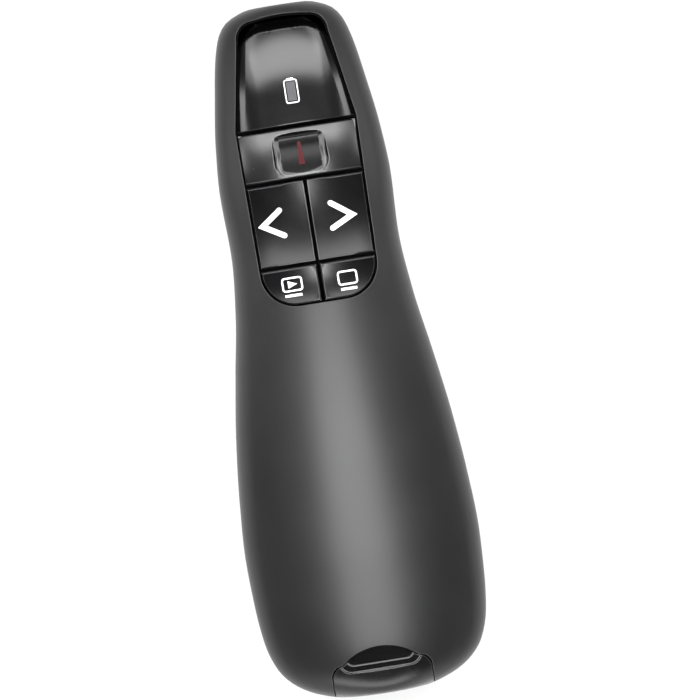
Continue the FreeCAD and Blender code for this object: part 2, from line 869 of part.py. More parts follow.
def brow_bevel():
    """What the bevel across the window's nose end takes off."""
    start = size("window_y") - size("window_brow")
    top = crown_at(start) - size("inlay_drop")
    slope = size("window_brow_fall") / size("window_brow")
    far = size("half_width")
    high = size("parting") + size("overrun")
    end = start + far
    corners = [Vector(-far, start, top), Vector(-far, end, top - far * slope), Vector(-far, end, high),
               Vector(-far, start, high)]
    return Part.Face(Part.makePolygon(corners + corners[:1])).extrude(Vector(2 * far, 0, 0))


def build_window():
    """The domed lens at the nose, bevelled along both sides and across the nose end, seated on the deck."""
    low = size("deck_top")
    high = size("parting") + size("overrun")
    crown = inlay_crown(size("window_y") - size("window_corner"), size("window_tail"))
    lens = field_prism(0.0, low, high).common(crown)
    lens = lens.common(slab((-high, high), (size("window_tail"), high * 2), (0, high)))
    right = side_bevel()
    for bevel in (right, mirrored(right), brow_bevel()):
        lens = lens.cut(bevel)
    return {"status_window": shaped("StatusWindow", lens.removeSplitter())}


# The case shells


def screw_places():
    """Where the two case screws stand."""
    return [(side * size("belly_screw_x"), size("belly_screw_y")) for side in (-1, 1)]


def screw_seat(x, y):
    """Height of the shoulder that a case screw's head pulls against."""
    return belly_at(y, abs(x)) + size("boss_floor") + size("screw_head_height")


def notch_prism(play=0.0):
    """The arched opening in the tail that the receiver is drawn out of, drawn in by a play."""
    tail = size("tail_y")
    half = size("notch_half") - play
    corner = size("notch_corner")
    side_y = tail + size("notch_side") - corner - play
    crest = tail + size("notch_crest") - play
    low = size("frame_top")
    high = size("parting") + size("overrun")
    shoulder_y = side_y + corner
    diagonal = corner * (1 - math.sqrt(0.5))

    def spot(x, y):
        return Vector(x, y, low)

    right = [spot(half, tail - corner), spot(half, side_y), spot(half - diagonal, shoulder_y - diagonal),
             spot(half - corner, shoulder_y)]
    left = [Vector(-point.x, point.y, point.z) for point in right]
    edges = [
        Part.LineSegment(right[0], right[1]).toShape(),
        Part.Arc(*right[1:]).toShape(),
        Part.Arc(right[-1], spot(0, crest), left[-1]).toShape(),
        Part.Arc(*left[:0:-1]).toShape(),
        Part.LineSegment(left[1], left[0]).toShape(),
        Part.LineSegment(left[0], right[0]).toShape(),
    ]
    return Part.Face(Part.Wire(edges)).extrude(Vector(0, 0, high - low))


def build_upper_shell(form, hollow, skin):
    """The top half of the case: crown, key bed with its deck, receiver notch, guide ribs and screw bosses."""
    parting = size("parting")
    far = size("overrun")
    deck_under = size("deck_under")
    deck_top = size("deck_top")
    wall = size("case_wall")
    width = size("body_width")
    top_half = slab((-width, width), (2 * size("tail_y"), 2 * size("nose_y")), (parting, parting + far))
    shell = form.common(top_half)
    bed_tail = size("screen_tail") - size("rim_gap") - wall
    over_deck = slab((-width, width), (bed_tail, 2 * size("nose_y")), (deck_under, parting + far))
    shell = shell.cut(hollow.cut(over_deck))
    shell = shell.cut(field_prism(size("rim_gap"), deck_top, parting + far))
    shell = shell.cut(notch_prism())
    play = size("lip_play")
    lip_room = plan_prism(size("lip_inset") - play, parting - play, parting + size("lip_height") + play)
    shell = shell.cut(lip_room)
    additions = []
    for x, y in screw_places():
        additions.append(post(x, y, size("boss_half"), size("frame_top"), far).common(skin))
    rib_half = size("dock_wall") / 2
    for side in (-1, 1):
        x = side * size("plug_width") / 2
        rib_y = (size("receiver_tail") + size("notch_crest"), size("receiver_front"))
        rib = slab((x - rib_half, x + rib_half), rib_y, (size("receiver_top") + size("dock_play"), parting + far))
        additions.append(rib.common(skin))
    shell = shell.fuse(additions)
    holes = []
    for x, y in screw_places():
        depth = crown_at(y, abs(x)) - wall - parting - size("screw_end_gap")
        holes.append(pin(size("screw_radius"), Vector(x, y, parting - wall), depth + wall))
    for key, (cell_x, cell_y, legs) in key_cells().items():
        x = 0.0 if key == "laser" else math.copysign(size("switch_side"), cell_x[0] + cell_x[1])
        y = (cell_y[0] + cell_y[1]) / 2
        half = size("stem_half") + size("stem_play")
        holes.append(slab((x - half, x + half), (y - half, y + half), (deck_under - wall, deck_top + wall)))
        for leg_x, leg_y, outward in legs:
            reach = size("leg_thickness") / 2 + size("stem_play")
            hook = reach + size("hook_reach")
            span = (leg_x - reach, leg_x + hook) if outward > 0 else (leg_x - hook, leg_x + reach)
            half = size("leg_width") / 2 + size("stem_play")
            holes.append(slab(span, (leg_y - half, leg_y + half), (deck_under - wall, deck_top + wall)))
    holes.append(dock_room())
    lamp = Vector(0, size("lamp_y"), deck_under - wall)
    holes.append(pin(size("guide_radius") + size("fit_play"), lamp, wall * 3))
    holes += [barrel_room(), bezel_hole()]
    for hole in holes:
        shell = shell.cut(hole)
    return {"upper_shell": shaped("UpperShell", shell.removeSplitter())}


def barrel_room():
    """The round seat of the laser barrel between both halves."""
    start = Vector(0, size("laser_back") - size("case_wall"), size("parting"))
    length = size("laser_length") + size("case_wall")
    return pin(size("laser_radius") + size("fit_play"), start, length, Vector(0, 1, 0))


def bezel_hole():
    """The round hole through the nose for the laser's front ring."""
    start = Vector(0, size("laser_front"), size("parting"))
    return pin(size("bezel_radius") + size("fit_play") / 2, start, size("overrun"), Vector(0, 1, 0))


def build_lower_shell(form, hollow, skin):
    """The bottom half of the case: belly, lip, door rails, bulkhead, screw bosses, board posts, laser cradle."""
    parting = size("parting")
    width = size("body_width")
    nose = size("nose_y")
    tail = size("tail_y")
    wall = size("case_wall")
    bottom_half = slab((-width, width), (2 * tail, 2 * nose), (0, parting))
    belly = form.common(bottom_half)
    shell = belly.cut(hollow)
    inset = size("lip_inset")
    lip = plan_prism(inset, parting - wall, parting + size("lip_height"))
    lip = lip.cut(plan_prism(wall, parting - wall * 2, parting + wall * 2))
    shell = shell.fuse(lip)
    additions = []
    bulkhead_half = size("door_half") - size("rail_width")
    bulkhead_y = (size("bay_y"), size("bulkhead_y"))
    additions.append(slab((-bulkhead_half, bulkhead_half), bulkhead_y, (0, size("frame_z"))))
    rail_x = (size("door_edge"), size("door_edge") + size("shell_rail_width"))
    rail_y = (tail + size("rail_tail_gap"), size("bay_y"))
    tongue_low, tongue_high = tongue_span()
    rail = slab(rail_x, rail_y, (0, tongue_high + size("tongue_cover")))
    additions += [rail, mirrored(rail)]
    for x, y in screw_places():
        additions.append(post(x, y, size("boss_half"), 0, size("frame_z")))
    for y in board_screw_places():
        additions.append(post(0, y, size("post_half"), 0, size("board_under")))
    half = size("cradle_half")
    for y in cradle_places():
        additions.append(slab((-half, half), (y, y + size("cradle_thickness")), (0, parting)))
    for piece in additions:
        shell = shell.fuse(piece.common(skin))
    cuts = []
    edge = size("door_edge")
    cuts.append(slab((-edge, edge), (2 * tail, size("bay_y")), (-wall, parting + wall)))
    play = size("fit_play")
    groove = slab((edge - wall, edge + size("tongue_reach") + play), (2 * tail, size("bay_y")),
                  (tongue_low - play, tongue_high + play))
    cuts += [groove, mirrored(groove)]
    latch_play = size("door_gap")
    latch = size("latch_half") + latch_play
    cuts.append(slab((-latch, latch), (size("bay_y") - wall, size("bay_y") + size("latch_reach") + latch_play),
                     (wall - latch_play, wall + size("latch_height") + latch_play)))
    for x, y in screw_places():
        seat = screw_seat(x, y)
        cuts.append(pin(size("screw_radius") + size("fit_play"), Vector(x, y, 0), parting + wall))
        cuts.append(pin(size("screw_head_radius") + size("fit_play"), Vector(x, y, -wall), seat + wall))
    for y in board_screw_places():
        depth = size("boss_floor")
        cuts.append(pin(size("screw_radius"), Vector(0, y, size("board_under") - depth), depth * 2))
    cuts += [barrel_room(), bezel_hole()] + power_slot()
    half = size("notch_half")
    notch_y = (2 * tail, tail + size("notch_side"))
    cuts.append(slab((-half, half), notch_y, (size("frame_top"), parting + wall * 2)))
    for tool in cuts:
        shell = shell.cut(tool)
    return {"lower_shell": shaped("LowerShell", shell.removeSplitter())}


def board_screw_places():
    """Where the two board screws stand along the case."""
    margin = size("board_screw_margin")
    return [size("board_tail") + margin, size("board_nose") - margin]


def cradle_places():
    """Where the two ribs under the laser barrel start."""
    spread = size("laser_length") / 3
    return [size("laser_back") + spread / 2, size("laser_front") - spread / 2 - size("cradle_thickness")]


def knob_places():
    """Where the power knob rests: its tail end, its height, its outer face and the face of its flange."""
    start = size("power_y") - (size("knob_length") + size("power_travel")) / 2
    end = start + size("knob_length")
    lap = size("knob_lap")
    middle = size("board_top") + size("power_body_height") / 2
    outer = min(section_at(place)[0] for place in (start, end)) - size("knob_sink")
    reach = (start - lap, start, end, end + lap + size("power_travel"))
    inner = min(section_at(place)[0] for place in reach) - size("case_wall") - size("fit_play")
    return start, middle, outer, inner


def power_slot():
    """The slot in the right wall that the power knob slides in, and the flat behind it for its flange."""
    start, middle, outer, inner = knob_places()
    play = size("dock_play")
    half = size("knob_height") / 2 + play
    travel = size("power_travel")
    lap = size("knob_lap")
    far = size("half_width")
    end = start + size("knob_length") + travel
    slot = slab((inner - far / 2, far), (start - play, end + play), (middle - half, middle + half))
    flat = slab((inner - far / 2, inner + size("fit_play")), (start - lap - play, end + lap + play),
                (middle - half - play, size("parting") + play))
    return [slot, flat]


def tongue_span():
    """Heights between which the door's tongues lie, just over the belly at the front end of the bay."""
    out = size("door_edge") + size("tongue_reach") + size("fit_play")
    low = belly_at(size("bay_y"), out) + size("tongue_rise")
    return low, low + size("tongue_height")


def build_door(form, hollow):
    """The battery door: the belly under the cells, with rails, tongues, a front latch and finger grooves."""
    wall = size("case_wall")
    tail = size("tail_y")
    half = size("door_half")
    front = size("bay_y") - size("door_gap")
    top = size("frame_z") - size("door_gap")
    zone = slab((-half, half), (2 * tail, front), (0, top))
    blank = form.common(zone)
    door = blank.cut([hollow] + cell_bores())
    rail_y = (tail + size("rail_tail_gap"), front - wall)
    tongue_low, tongue_high = tongue_span()
    rail = slab((half - size("rail_width"), half), rail_y, (0, tongue_high + size("tongue_cover")))
    for piece in (rail, mirrored(rail)):
        door = door.fuse(piece.common(blank))
    tongue = slab((half - wall / 2, half + size("tongue_reach")), rail_y, (tongue_low, tongue_high))
    latch_y = (front - 2 * wall, size("bay_y") + size("latch_reach"))
    latch = slab((-size("latch_half"), size("latch_half")), latch_y, (wall, wall + size("latch_height")))
    latch_foot = slab((-size("latch_half"), size("latch_half")), (front - 2 * wall, front), (wall / 2, wall))
    door = door.fuse([tongue, mirrored(tongue), latch, latch_foot])
    pitch = size("grip_groove_pitch")
    groove_half = size("grip_groove_half")
    for k in range(DOOR_GROOVES):
        y = front - (k + DOOR_GROOVES - 1) * pitch
        groove_y = (y - size("grip_groove_width"), y)
        groove = slab((-groove_half, groove_half), groove_y, (-wall, size("grip_groove_depth")))
        door = door.cut(groove)
    return {"battery_door": shaped("BatteryDoor", door.removeSplitter())}


def build_mid_frame():
    """The roof of the battery bay and the dock of the receiver, one moulding."""
    low = size("frame_z")
    top = size("frame_top")
    play = size("dock_play")
    plate = hollow_form(size("dock_play"))
    tail = size("tail_y") + size("frame_tail_gap")
    width = size("body_width")
    plate = plate.common(slab((-width, width), (tail, size("bulkhead_y")), (low, top)))
    inner = size("receiver_half") + play
    walls = []
    rail_y = (size("tail_y") + size("notch_crest"), size("receiver_front"))
    rail = slab((inner, inner + size("dock_wall")), rail_y, (low, top + size("dock_wall_height")))
    walls += [rail, mirrored(rail)]
    stop_y = size("receiver_front") + play
    stop_x = (size("plug_width") / 2 + play, inner + size("dock_wall"))
    stop = slab(stop_x, (stop_y, stop_y + size("dock_wall")), (low, top + size("dock_wall_height")))
    walls += [stop, mirrored(stop)]
    frame = plate.fuse(walls)
    saddle_half = size("door_half") * size("saddle_share") - size("rail_width")
    for share in SADDLE_SHARES:
        y = size("cell_tail") + share * size("cell_length")
        saddle_y = (y, y + size("saddle_thickness"))
        saddle = slab((-saddle_half, saddle_half), saddle_y, (low - size("saddle_drop"), low))
        frame = frame.fuse(saddle)
    frame = frame.cut(cell_bores())
    for side in (-1, 1):
        start = Vector(side * size("belly_screw_x"), size("belly_screw_y"), low - play)
        frame = frame.cut(pin(size("screw_radius") + size("fit_play"), start, size("overrun")))
    return {"mid_frame": shaped("MidFrame", frame.removeSplitter())}


# Electronics


def build_board():
    """The main board, narrowed towards the nose, with two screw holes."""
    tail, nose = "board_tail", "board_nose"
    corners = [
        ("board_half", tail), ("board_half", f"{nose} - board_taper"), ("board_nose_half", nose),
        ("-board_nose_half", nose), ("-board_half", f"{nose} - board_taper"), ("-board_half", tail),
    ]
    holes = [("0", f"{tail} + board_screw_margin", "board_hole_radius"),
             ("0", f"{nose} - board_screw_margin", "board_hole_radius")]
    body = padded("MainBoard", corners, "board_thickness", holes)
    place_body(body, z="board_under")
    return {"main_board": body}


SWITCH_PLACES = {
    "laser": ("0", "laser_press_y"),
    "back": ("-switch_side", "arrow_press_y"),
    "next": ("switch_side", "arrow_press_y"),
    "slideshow": ("-switch_side", "screen_press_y"),
    "blank": ("switch_side", "screen_press_y"),
}


def square(half):
    """The corners of a square about the origin."""
    return [(f"{a}({half})", f"{b}({half})") for a, b in (("-", "-"), ("", "-"), ("", ""), ("-", ""))]


def build_switches():
    """A tact switch under each key: a square housing and the square plunger that the key's stem rests on."""
    nodes = {}
    for key, (x, y) in SWITCH_PLACES.items():
        title = key.title()
        housing = padded(title + "SwitchHousing", square("switch_width / 2"), "switch_height")
        bore = sketch_on(housing, "XY_Plane", title + "Bore")
        polygon(bore, square("plunger_half + plunger_play"))
        bore.setExpression("AttachmentOffset.Base.z", bind("switch_height - plunger_depth - switch_skin"))
        pocket = housing.newObject("PartDesign::Pocket", title + "Pocket")
        pocket.Profile = bore
        pocket.setExpression("Length", bind("plunger_depth + 2 * switch_skin"))
        pocket.Reversed = True
        place_body(housing, x, y, "board_top")
        nodes[f"switch_housing_{key}"] = housing
        nodes[f"switch_plunger_{key}"] = block(
            title + "Plunger", (f"{x} - plunger_half", f"{x} + plunger_half"),
            (f"{y} - plunger_half", f"{y} + plunger_half"), ("switch_top - plunger_depth", "plunger_top"))
    return nodes


def build_board_parts():
    """Chips, crystal and small parts on the board, and the lamp under the window with its light guide."""
    side = "switch_side"
    arrow = "arrow_press_y"
    top = "board_top"
    under = "board_under"
    nodes = {
        "controller_chip": block(
            "ControllerChip", (f"-{side} - chip_width / 2", f"-{side} + chip_width / 2"),
            (f"{arrow} - chip_width / 2", f"{arrow} + chip_width / 2"), (f"{under} - chip_height", under)),
        "radio_chip": block(
            "RadioChip", (f"{side} - radio_width / 2", f"{side} + radio_width / 2"),
            (f"{arrow} - radio_width / 2", f"{arrow} + radio_width / 2"), (f"{under} - chip_height", under)),
        "crystal": block(
            "Crystal", (f"{side} - crystal_length / 2", f"{side} + crystal_length / 2"),
            (f"{arrow} + radio_width", f"{arrow} + radio_width + crystal_width"),
            (f"{under} - chip_height", under)),
        "status_led": block(
            "StatusLed", ("-small_part_length / 2", "small_part_length / 2"),
            ("lamp_y - small_part_width / 2", "lamp_y + small_part_width / 2"),
            (top, f"{top} + small_part_height")),
        "light_guide": rod(
            "LightGuide", "guide_radius", "z", ("0", "lamp_y", f"{top} + small_part_height + fit_play"),
            f"deck_top - fit_play - ({top} + small_part_height + fit_play)"),
    }
    small = []
    for k in range(SMALL_PARTS):
        y = f"{arrow} - chip_width + {k} * 2 * small_part_width"
        small.append(block(f"Capacitor{k}", ("-small_part_length / 2", "small_part_length / 2"),
                           (y, f"{y} + small_part_width"), (f"{under} - small_part_height", under)))
    nodes["capacitors"] = group("Capacitors", small)
    return nodes


def build_laser():
    """The laser module in the nose: brass barrel, lens, diode can with its leads, and the front ring."""
    axis = {"x": "0", "z": "parting"}
    barrel = turned("LaserBarrel", [
        ("lens_radius", "0"), ("laser_radius", "0"),
        ("laser_radius", "laser_length"), ("lens_radius", "laser_length"),
    ])
    place_body(barrel, y="laser_back", turn=AXIS_TURNS["y"], **axis)
    lens = rod("LaserLens", "lens_radius", "y", ("0", "laser_front - lens_inset - lens_thickness", "parting"),
               "lens_thickness")
    diode = rod("LaserDiode", "diode_radius", "y", ("0", "laser_back + laser_wall", "parting"), "diode_length")
    bezel = turned("LaserBezel", [
        ("bezel_bore", "0"), ("bezel_radius", "0"), ("bezel_radius", "laser_front_gap - fit_play"),
        ("bezel_bore", "laser_front_gap - fit_play"),
    ])
    place_body(bezel, y="laser_front", turn=AXIS_TURNS["y"], **axis)
    leads = []
    end = "board_nose - lead_spread"
    for k, side in enumerate(("-", "")):
        x = (f"{side}lead_spread - lead_half", f"{side}lead_spread + lead_half")
        run = block(f"LeadRun{k}", x, (f"{end} - lead_half", "laser_back + laser_wall"),
                    ("parting - lead_half", "parting + lead_half"))
        drop = block(f"LeadDrop{k}", x, (f"{end} - lead_half", f"{end} + lead_half"), ("board_top", "parting"))
        leads.append(joined(f"Lead{k}", [run, drop]))
    return {
        "laser_barrel": barrel, "laser_lens": lens, "laser_diode": diode, "laser_bezel": bezel,
        "laser_leads": group("LaserLeads", leads),
    }


def build_power_switch():
    """The power slide switch: its body on the board, its lever, and the knob in the side wall."""
    x = ("board_half - power_edge - power_body_width", "board_half - power_edge")
    body_y = ("power_y - power_body_length / 2", "power_y + power_body_length / 2")
    body = block("PowerSwitchBody", x, body_y, ("board_top", "board_top + power_body_height"))
    lever_start = "power_y - power_travel / 2 - lever_length / 2"
    middle = "board_top + power_body_height / 2"
    lever_y = (lever_start, f"{lever_start} + lever_length")
    lever = block("PowerSwitchLever", (x[1], f"{x[1]} + lever_reach"), lever_y,
                  (f"{middle} - lever_height / 2", f"{middle} + lever_height / 2"))
    return {"power_switch_body": body, "power_switch_lever": lever, "power_knob": build_power_knob()}


def build_power_knob():
    """The knob: a pad in the wall slot, a flange behind the wall and a fork round the lever."""
    start, middle, outer, inner = knob_places()
    length = size("knob_length")
    half = size("knob_height") / 2
    wall = size("case_wall")
    play = size("fit_play")
    lap = size("knob_lap")
    flange = size("knob_flange")
    pad = slab((inner - flange, outer), (start, start + length), (middle - half, middle + half))
    back = slab((inner - flange, inner), (start - lap, start + length + lap), (middle - half, middle + half))
    lever = size("lever_length")
    centre = start + length / 2
    root = size("board_half") - size("power_edge") + play * 4
    prongs = []
    for side in (-1, 1):
        near = centre + side * (lever / 2 + play)
        span = sorted((near, near + side * lever / 2))
        prongs.append(slab((root, inner), span, (middle - half, middle + half)))
    knob = pad.fuse([back] + prongs)
    for k in range(KNOB_GROOVES):
        y = start + (k + 1) * length / (KNOB_GROOVES + 1)
        ridge_y = (y - play * 2, y + play * 2)
        knob = knob.cut(slab((outer - play * 2, outer + wall), ridge_y, (0, size("parting") * 2)))
    return shaped("PowerKnob", knob.removeSplitter())


def build_cells():
    """Two cells side by side, head to tail, with the contacts at both ends of their bay."""
    nodes = {}
    for name, side, head in (("left", "-", 1), ("right", "", -1)):
        title = name.title()
        x = f"{side}cell_x"
        body_length = "cell_length - cell_nub_length"
        start = "cell_tail" if head > 0 else "cell_tail + cell_nub_length"
        can = rod(f"Cell{title}Can", "cell_radius", "y", (x, start, "cell_z"), body_length)
        nub_start = "cell_front - cell_nub_length" if head > 0 else "cell_tail"
        nub = rod(f"Cell{title}Nub", "cell_nub_radius", "y", (x, nub_start, "cell_z"), "cell_nub_length")
        nodes[f"cell_{name}"] = joined(f"Cell{title}", [can, nub])
    leaves = []
    for name, side in (("Left", "-"), ("Right", "")):
        leaves.append(leaf(f"Leaf{name}", f"{side}cell_x", "bay_y", "cell_front", "-"))
    nodes["contact_leaves"] = group("ContactLeaves", leaves)
    bridge_y = "cell_tail - contact_gap"
    strip = block("BridgeStrip", ("-cell_x - contact_width / 2", "cell_x + contact_width / 2"),
                  (bridge_y, f"{bridge_y} + contact_thickness"),
                  ("cell_z - contact_width / 2", "cell_z + contact_width / 2"))
    bumps = []
    for name, side in (("Left", "-"), ("Right", "")):
        bumps.append(leaf(f"Bump{name}", f"{side}cell_x", bridge_y, "cell_tail", ""))
    nodes["contact_bridge"] = joined("ContactBridge", [strip] + bumps)
    return nodes


def leaf(name, x, seat, touch, away):
    """A flat contact leaf with a pressed square bump that touches the end of a cell."""
    low = seat if away == "" else f"{seat} - contact_thickness"
    high = f"{seat} + contact_thickness" if away == "" else seat
    plate = block(name + "Plate", (f"{x} - contact_width / 2", f"{x} + contact_width / 2"), (low, high),
                  ("cell_z - contact_width / 2", "cell_z + contact_width / 2"))
    span = (seat, touch) if away == "" else (touch, seat)
    bump = block(name + "Bump", (f"{x} - bump_half", f"{x} + bump_half"), span,
                 ("cell_z - bump_half", "cell_z + bump_half"))
    return joined(name, [plate, bump])


# The receiver


def build_receiver(form):
    """The receiver: gloss body, pull lip that finishes the tail, plug shell, tongue, contacts, board and chip."""
    z0, z1 = size("receiver_z"), size("receiver_top")
    half = size("receiver_half")
    tail, front = size("receiver_tail"), size("receiver_front")
    body = slab((-half, half), (tail, front), (z0, z1))
    long_edges = [e for e in body.Edges if abs(e.BoundBox.YLength - (front - tail)) < size("fit_play")]
    body = body.makeFillet(size("receiver_round"), long_edges)
    wall = size("receiver_wall")
    room = slab((wall - half, half - wall), (tail + 2 * wall, front - wall), (z0 + wall, z1 - wall))
    lap = size("grip_lap")
    step_z = z1 - lap
    plug_half = size("plug_width") / 2
    plug_z = (size("plug_z"), size("plug_z") + size("plug_height"))
    mouth = slab((-plug_half, plug_half), (front - 2 * wall, front + wall), plug_z)
    body = body.cut(room).cut(mouth)
    body = body.cut(slab((-half, half), (tail - lap, tail + lap), (step_z, z1 + lap)))
    grip = form.common(notch_prism(size("grip_play")))
    grip = grip.cut(slab((-half, half), (tail, tail + lap), (0, step_z)))
    grip = grip.cut(slab((-half, half), (tail + lap, front), (0, z1)))
    for bed in finger_bed():
        grip = grip.cut(bed)
    return {
        "receiver_housing": shaped("ReceiverHousing", body.removeSplitter()),
        "receiver_grip": shaped("ReceiverGrip", grip.removeSplitter()),
        **build_plug(),
    }


def finger_bed():
    """The fingertip bed in the pull lip: a rounded opening down to a ledge, then a smaller one down to the body."""
    low = size("tail_y") + size("bed_inset")
    far = size("notch_crest")
    floor = size("receiver_top")
    middle = floor + size("bed_ledge_height")
    top = size("parting") + size("overrun")
    rise = size("crown_room")
    corner = size("bed_corner")
    flare = size("bed_flare")
    cuts = []
    for inset, base in ((0.0, middle), (size("bed_ledge"), floor)):
        half_x = size("bed_half") - inset
        start = low + inset
        half_y = (far - inset) / 2
        sharp = corner - inset / 2
        cuts.append(Part.makeLoft([
            rounded_wire(half_x - flare, half_y - flare, sharp, start + half_y, base),
            rounded_wire(half_x + flare, half_y + flare, sharp, start + half_y, base + rise),
        ], True, True))
    return cuts


def build_plug():
    """The plug: a thin metal shell with two square windows, its tongue and four contacts, and the board behind."""
    root = "receiver_front - 2 * receiver_wall"
    outer = block("PlugOuter", ("-plug_width / 2", "plug_width / 2"), (root, "plug_front"),
                  ("plug_z", "plug_z + plug_height"))
    inner = block("PlugInner", ("-plug_width / 2 + plug_skin", "plug_width / 2 - plug_skin"),
                  (f"{root} - plug_skin", "plug_front + plug_skin"),
                  ("plug_z + plug_skin", "plug_z + plug_height - plug_skin"))
    windows = []
    for k, side in enumerate(("-", "")):
        middle = f"{side}plug_width / 4"
        windows.append(block(f"PlugWindow{k}", (f"{middle} - plug_window / 2", f"{middle} + plug_window / 2"),
                             ("plug_front - 3 * plug_window", "plug_front - 2 * plug_window"),
                             ("plug_z - plug_skin", "plug_z + 2 * plug_height")))
    shell = cut("UsbShell", outer, [inner] + windows)
    tongue_z = "plug_z + plug_skin"
    tongue = block("UsbTongue", ("-plug_width / 2 + plug_skin", "plug_width / 2 - plug_skin"),
                   (root, "plug_front - plug_skin"), (tongue_z, f"{tongue_z} + tongue_thickness"))
    strips = []
    for k in range(PLUG_CONTACTS):
        middle = f"({k} - {(PLUG_CONTACTS - 1) / 2}) * contact_pitch"
        strips.append(block(f"UsbContact{k}",
                            (f"{middle} - contact_breadth / 2", f"{middle} + contact_breadth / 2"),
                            ("plug_front - plug_skin - contact_length", "plug_front - 2 * plug_skin"),
                            (f"{tongue_z} + tongue_thickness", f"{tongue_z} + tongue_thickness + contact_height")))
    board_start = "receiver_tail + 3 * receiver_wall"
    board = padded("ReceiverBoard", [
        ("-plug_width / 2", board_start), ("plug_width / 2", board_start),
        ("plug_width / 2", root), ("-plug_width / 2", root)], "receiver_wall")
    place_body(board, z="plug_z")
    chip_y = "receiver_tail + receiver_length / 2"
    chip = block("ReceiverChip", ("-radio_width / 2", "radio_width / 2"), (chip_y, f"{chip_y} + radio_width"),
                 ("plug_z + receiver_wall", "plug_z + receiver_wall + chip_height"))
    return {
        "usb_shell": shell, "usb_tongue": tongue, "usb_contacts": group("UsbContacts", strips),
        "receiver_board": board, "receiver_chip": chip,
    }


# Fasteners


def build_screws():
    """Two case screws from below and two board screws from above."""
    case = []
    for k, (x, y) in enumerate(screw_places()):
        seat = screw_seat(x, y)
        end = crown_at(y, abs(x)) - size("case_wall") - 2 * size("screw_end_gap")
        case.append(screw(Vector(x, y, seat), end - seat, 1))
    board = []
    for y in board_screw_places():
        start = Vector(0, y, size("board_top"))
        board.append(screw(start, size("board_thickness") + size("boss_floor") - size("screw_end_gap"), -1))
    return {"case_screws": shaped("CaseScrews", Part.Compound(case)),
            "board_screws": shaped("BoardScrews", Part.Compound(board))}


def screw(seat, reach, up):
    """A screw whose head sits under or over its seat and whose shank reaches the other way."""
    along = Vector(0, 0, up)
    height = size("screw_head_height")
    head = pin(size("screw_head_radius"), seat - along * height, height, along)
    shank = pin(size("screw_radius"), seat, reach, along)
    return head.fuse(shank)


def main():
    """Build every sub-part, check it and write it to its own file."""
    write_sizes()
    form = body_form()
    hollow = hollow_form()
    skin = body_form(size("case_wall") / 2)
    nodes = {}
    nodes.update(build_upper_shell(form, hollow, skin))
    nodes.update(build_lower_shell(form, hollow, skin))
    nodes.update(build_door(form, hollow))
    nodes.update(build_mid_frame())
    nodes.update(build_window())
    nodes.update(build_keys())
    nodes.update(build_laser_mark())
    nodes.update(build_board())
    nodes.update(build_switches())
    nodes.update(build_board_parts())
    nodes.update(build_laser())
    nodes.update(build_power_switch())
    nodes.update(build_cells())
    nodes.update(build_receiver(form))
    nodes.update(build_screws())
    doc.recompute()
    for name, item in nodes.items():
        item.Label = name
    faults = [item.Name for item in doc.Objects if "Invalid" in item.State or "Error" in item.State]
    faults += [name for name, item in nodes.items() if item.Shape.isNull() or not item.Shape.isValid()]
    if faults:
        raise RuntimeError("failed objects: " + ", ".join(faults))
    os.makedirs("parts", exist_ok=True)
    for name, item in nodes.items():
        item.Shape.exportStep(f"parts/{name}.step")
        print(f"{name}: {len(item.Shape.Solids)} solids, {item.Shape.Volume:.1f} mm3")


main()
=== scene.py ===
"""Dresses the wireless presentation clicker.

Smooth mouldings take the place of the faceted CAD ones, every piece gets its finish, the window and the keys
get their printed signs, and a plain studio holds the camera overhead.
"""
import logging
import math
from dataclasses import dataclass
from enum import Enum
from typing import Any, Callable, Iterable, Sequence

import bmesh
import bpy
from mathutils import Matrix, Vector
from mathutils.bvhtree import BVHTree


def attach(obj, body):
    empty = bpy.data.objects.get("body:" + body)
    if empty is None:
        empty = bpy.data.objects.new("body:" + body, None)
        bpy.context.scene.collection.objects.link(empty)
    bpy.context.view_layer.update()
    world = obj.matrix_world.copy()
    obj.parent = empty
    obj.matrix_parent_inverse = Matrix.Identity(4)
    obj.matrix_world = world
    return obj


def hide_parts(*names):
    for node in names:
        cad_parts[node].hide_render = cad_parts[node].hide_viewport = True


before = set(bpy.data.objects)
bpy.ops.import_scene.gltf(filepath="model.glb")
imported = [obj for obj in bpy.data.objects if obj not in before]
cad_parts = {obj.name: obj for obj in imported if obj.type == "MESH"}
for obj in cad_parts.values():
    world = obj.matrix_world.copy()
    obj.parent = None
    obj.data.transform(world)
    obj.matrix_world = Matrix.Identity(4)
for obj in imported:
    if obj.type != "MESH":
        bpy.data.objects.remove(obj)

LOG = logging.getLogger("clicker")
MM = 0.001
# Points nearer than this are one point, and a millimetre distance too small to count
WELD = 0.002 * MM
HAIR = 0.01
# Degrees above which an edge of the case and of an inlay stays sharp
CASE_CREASE = 28.0
INLAY_CREASE = 15.0
# Longest edge, in millimetres, that is left on the pieces whose mirror images show most
FINE_EDGE = 0.45
# Octaves of the patches and samples of the rolled edges
PATCH_DETAIL = 3.0
BEVEL_SAMPLES = 6
Point = tuple[float, float]
Height = Callable[[float, float], float]
Bed = tuple[Callable[[float, float, float], bool], Height]


# Small helpers


def linear(code: str) -> tuple[float, float, float, float]:
    """Turn an sRGB hex colour into linear red, green, blue and full alpha.

    Args:
        code: six hex digits, with or without a leading #.

    Returns:
        The four linear channels.
    """
    digits = code.lstrip("#")
    channels = [int(digits[k:k + 2], 16) / 255 for k in (0, 2, 4)]
    return (*[c / 12.92 if c <= 0.04045 else ((c + 0.055) / 1.055) ** 2.4 for c in channels], 1.0)


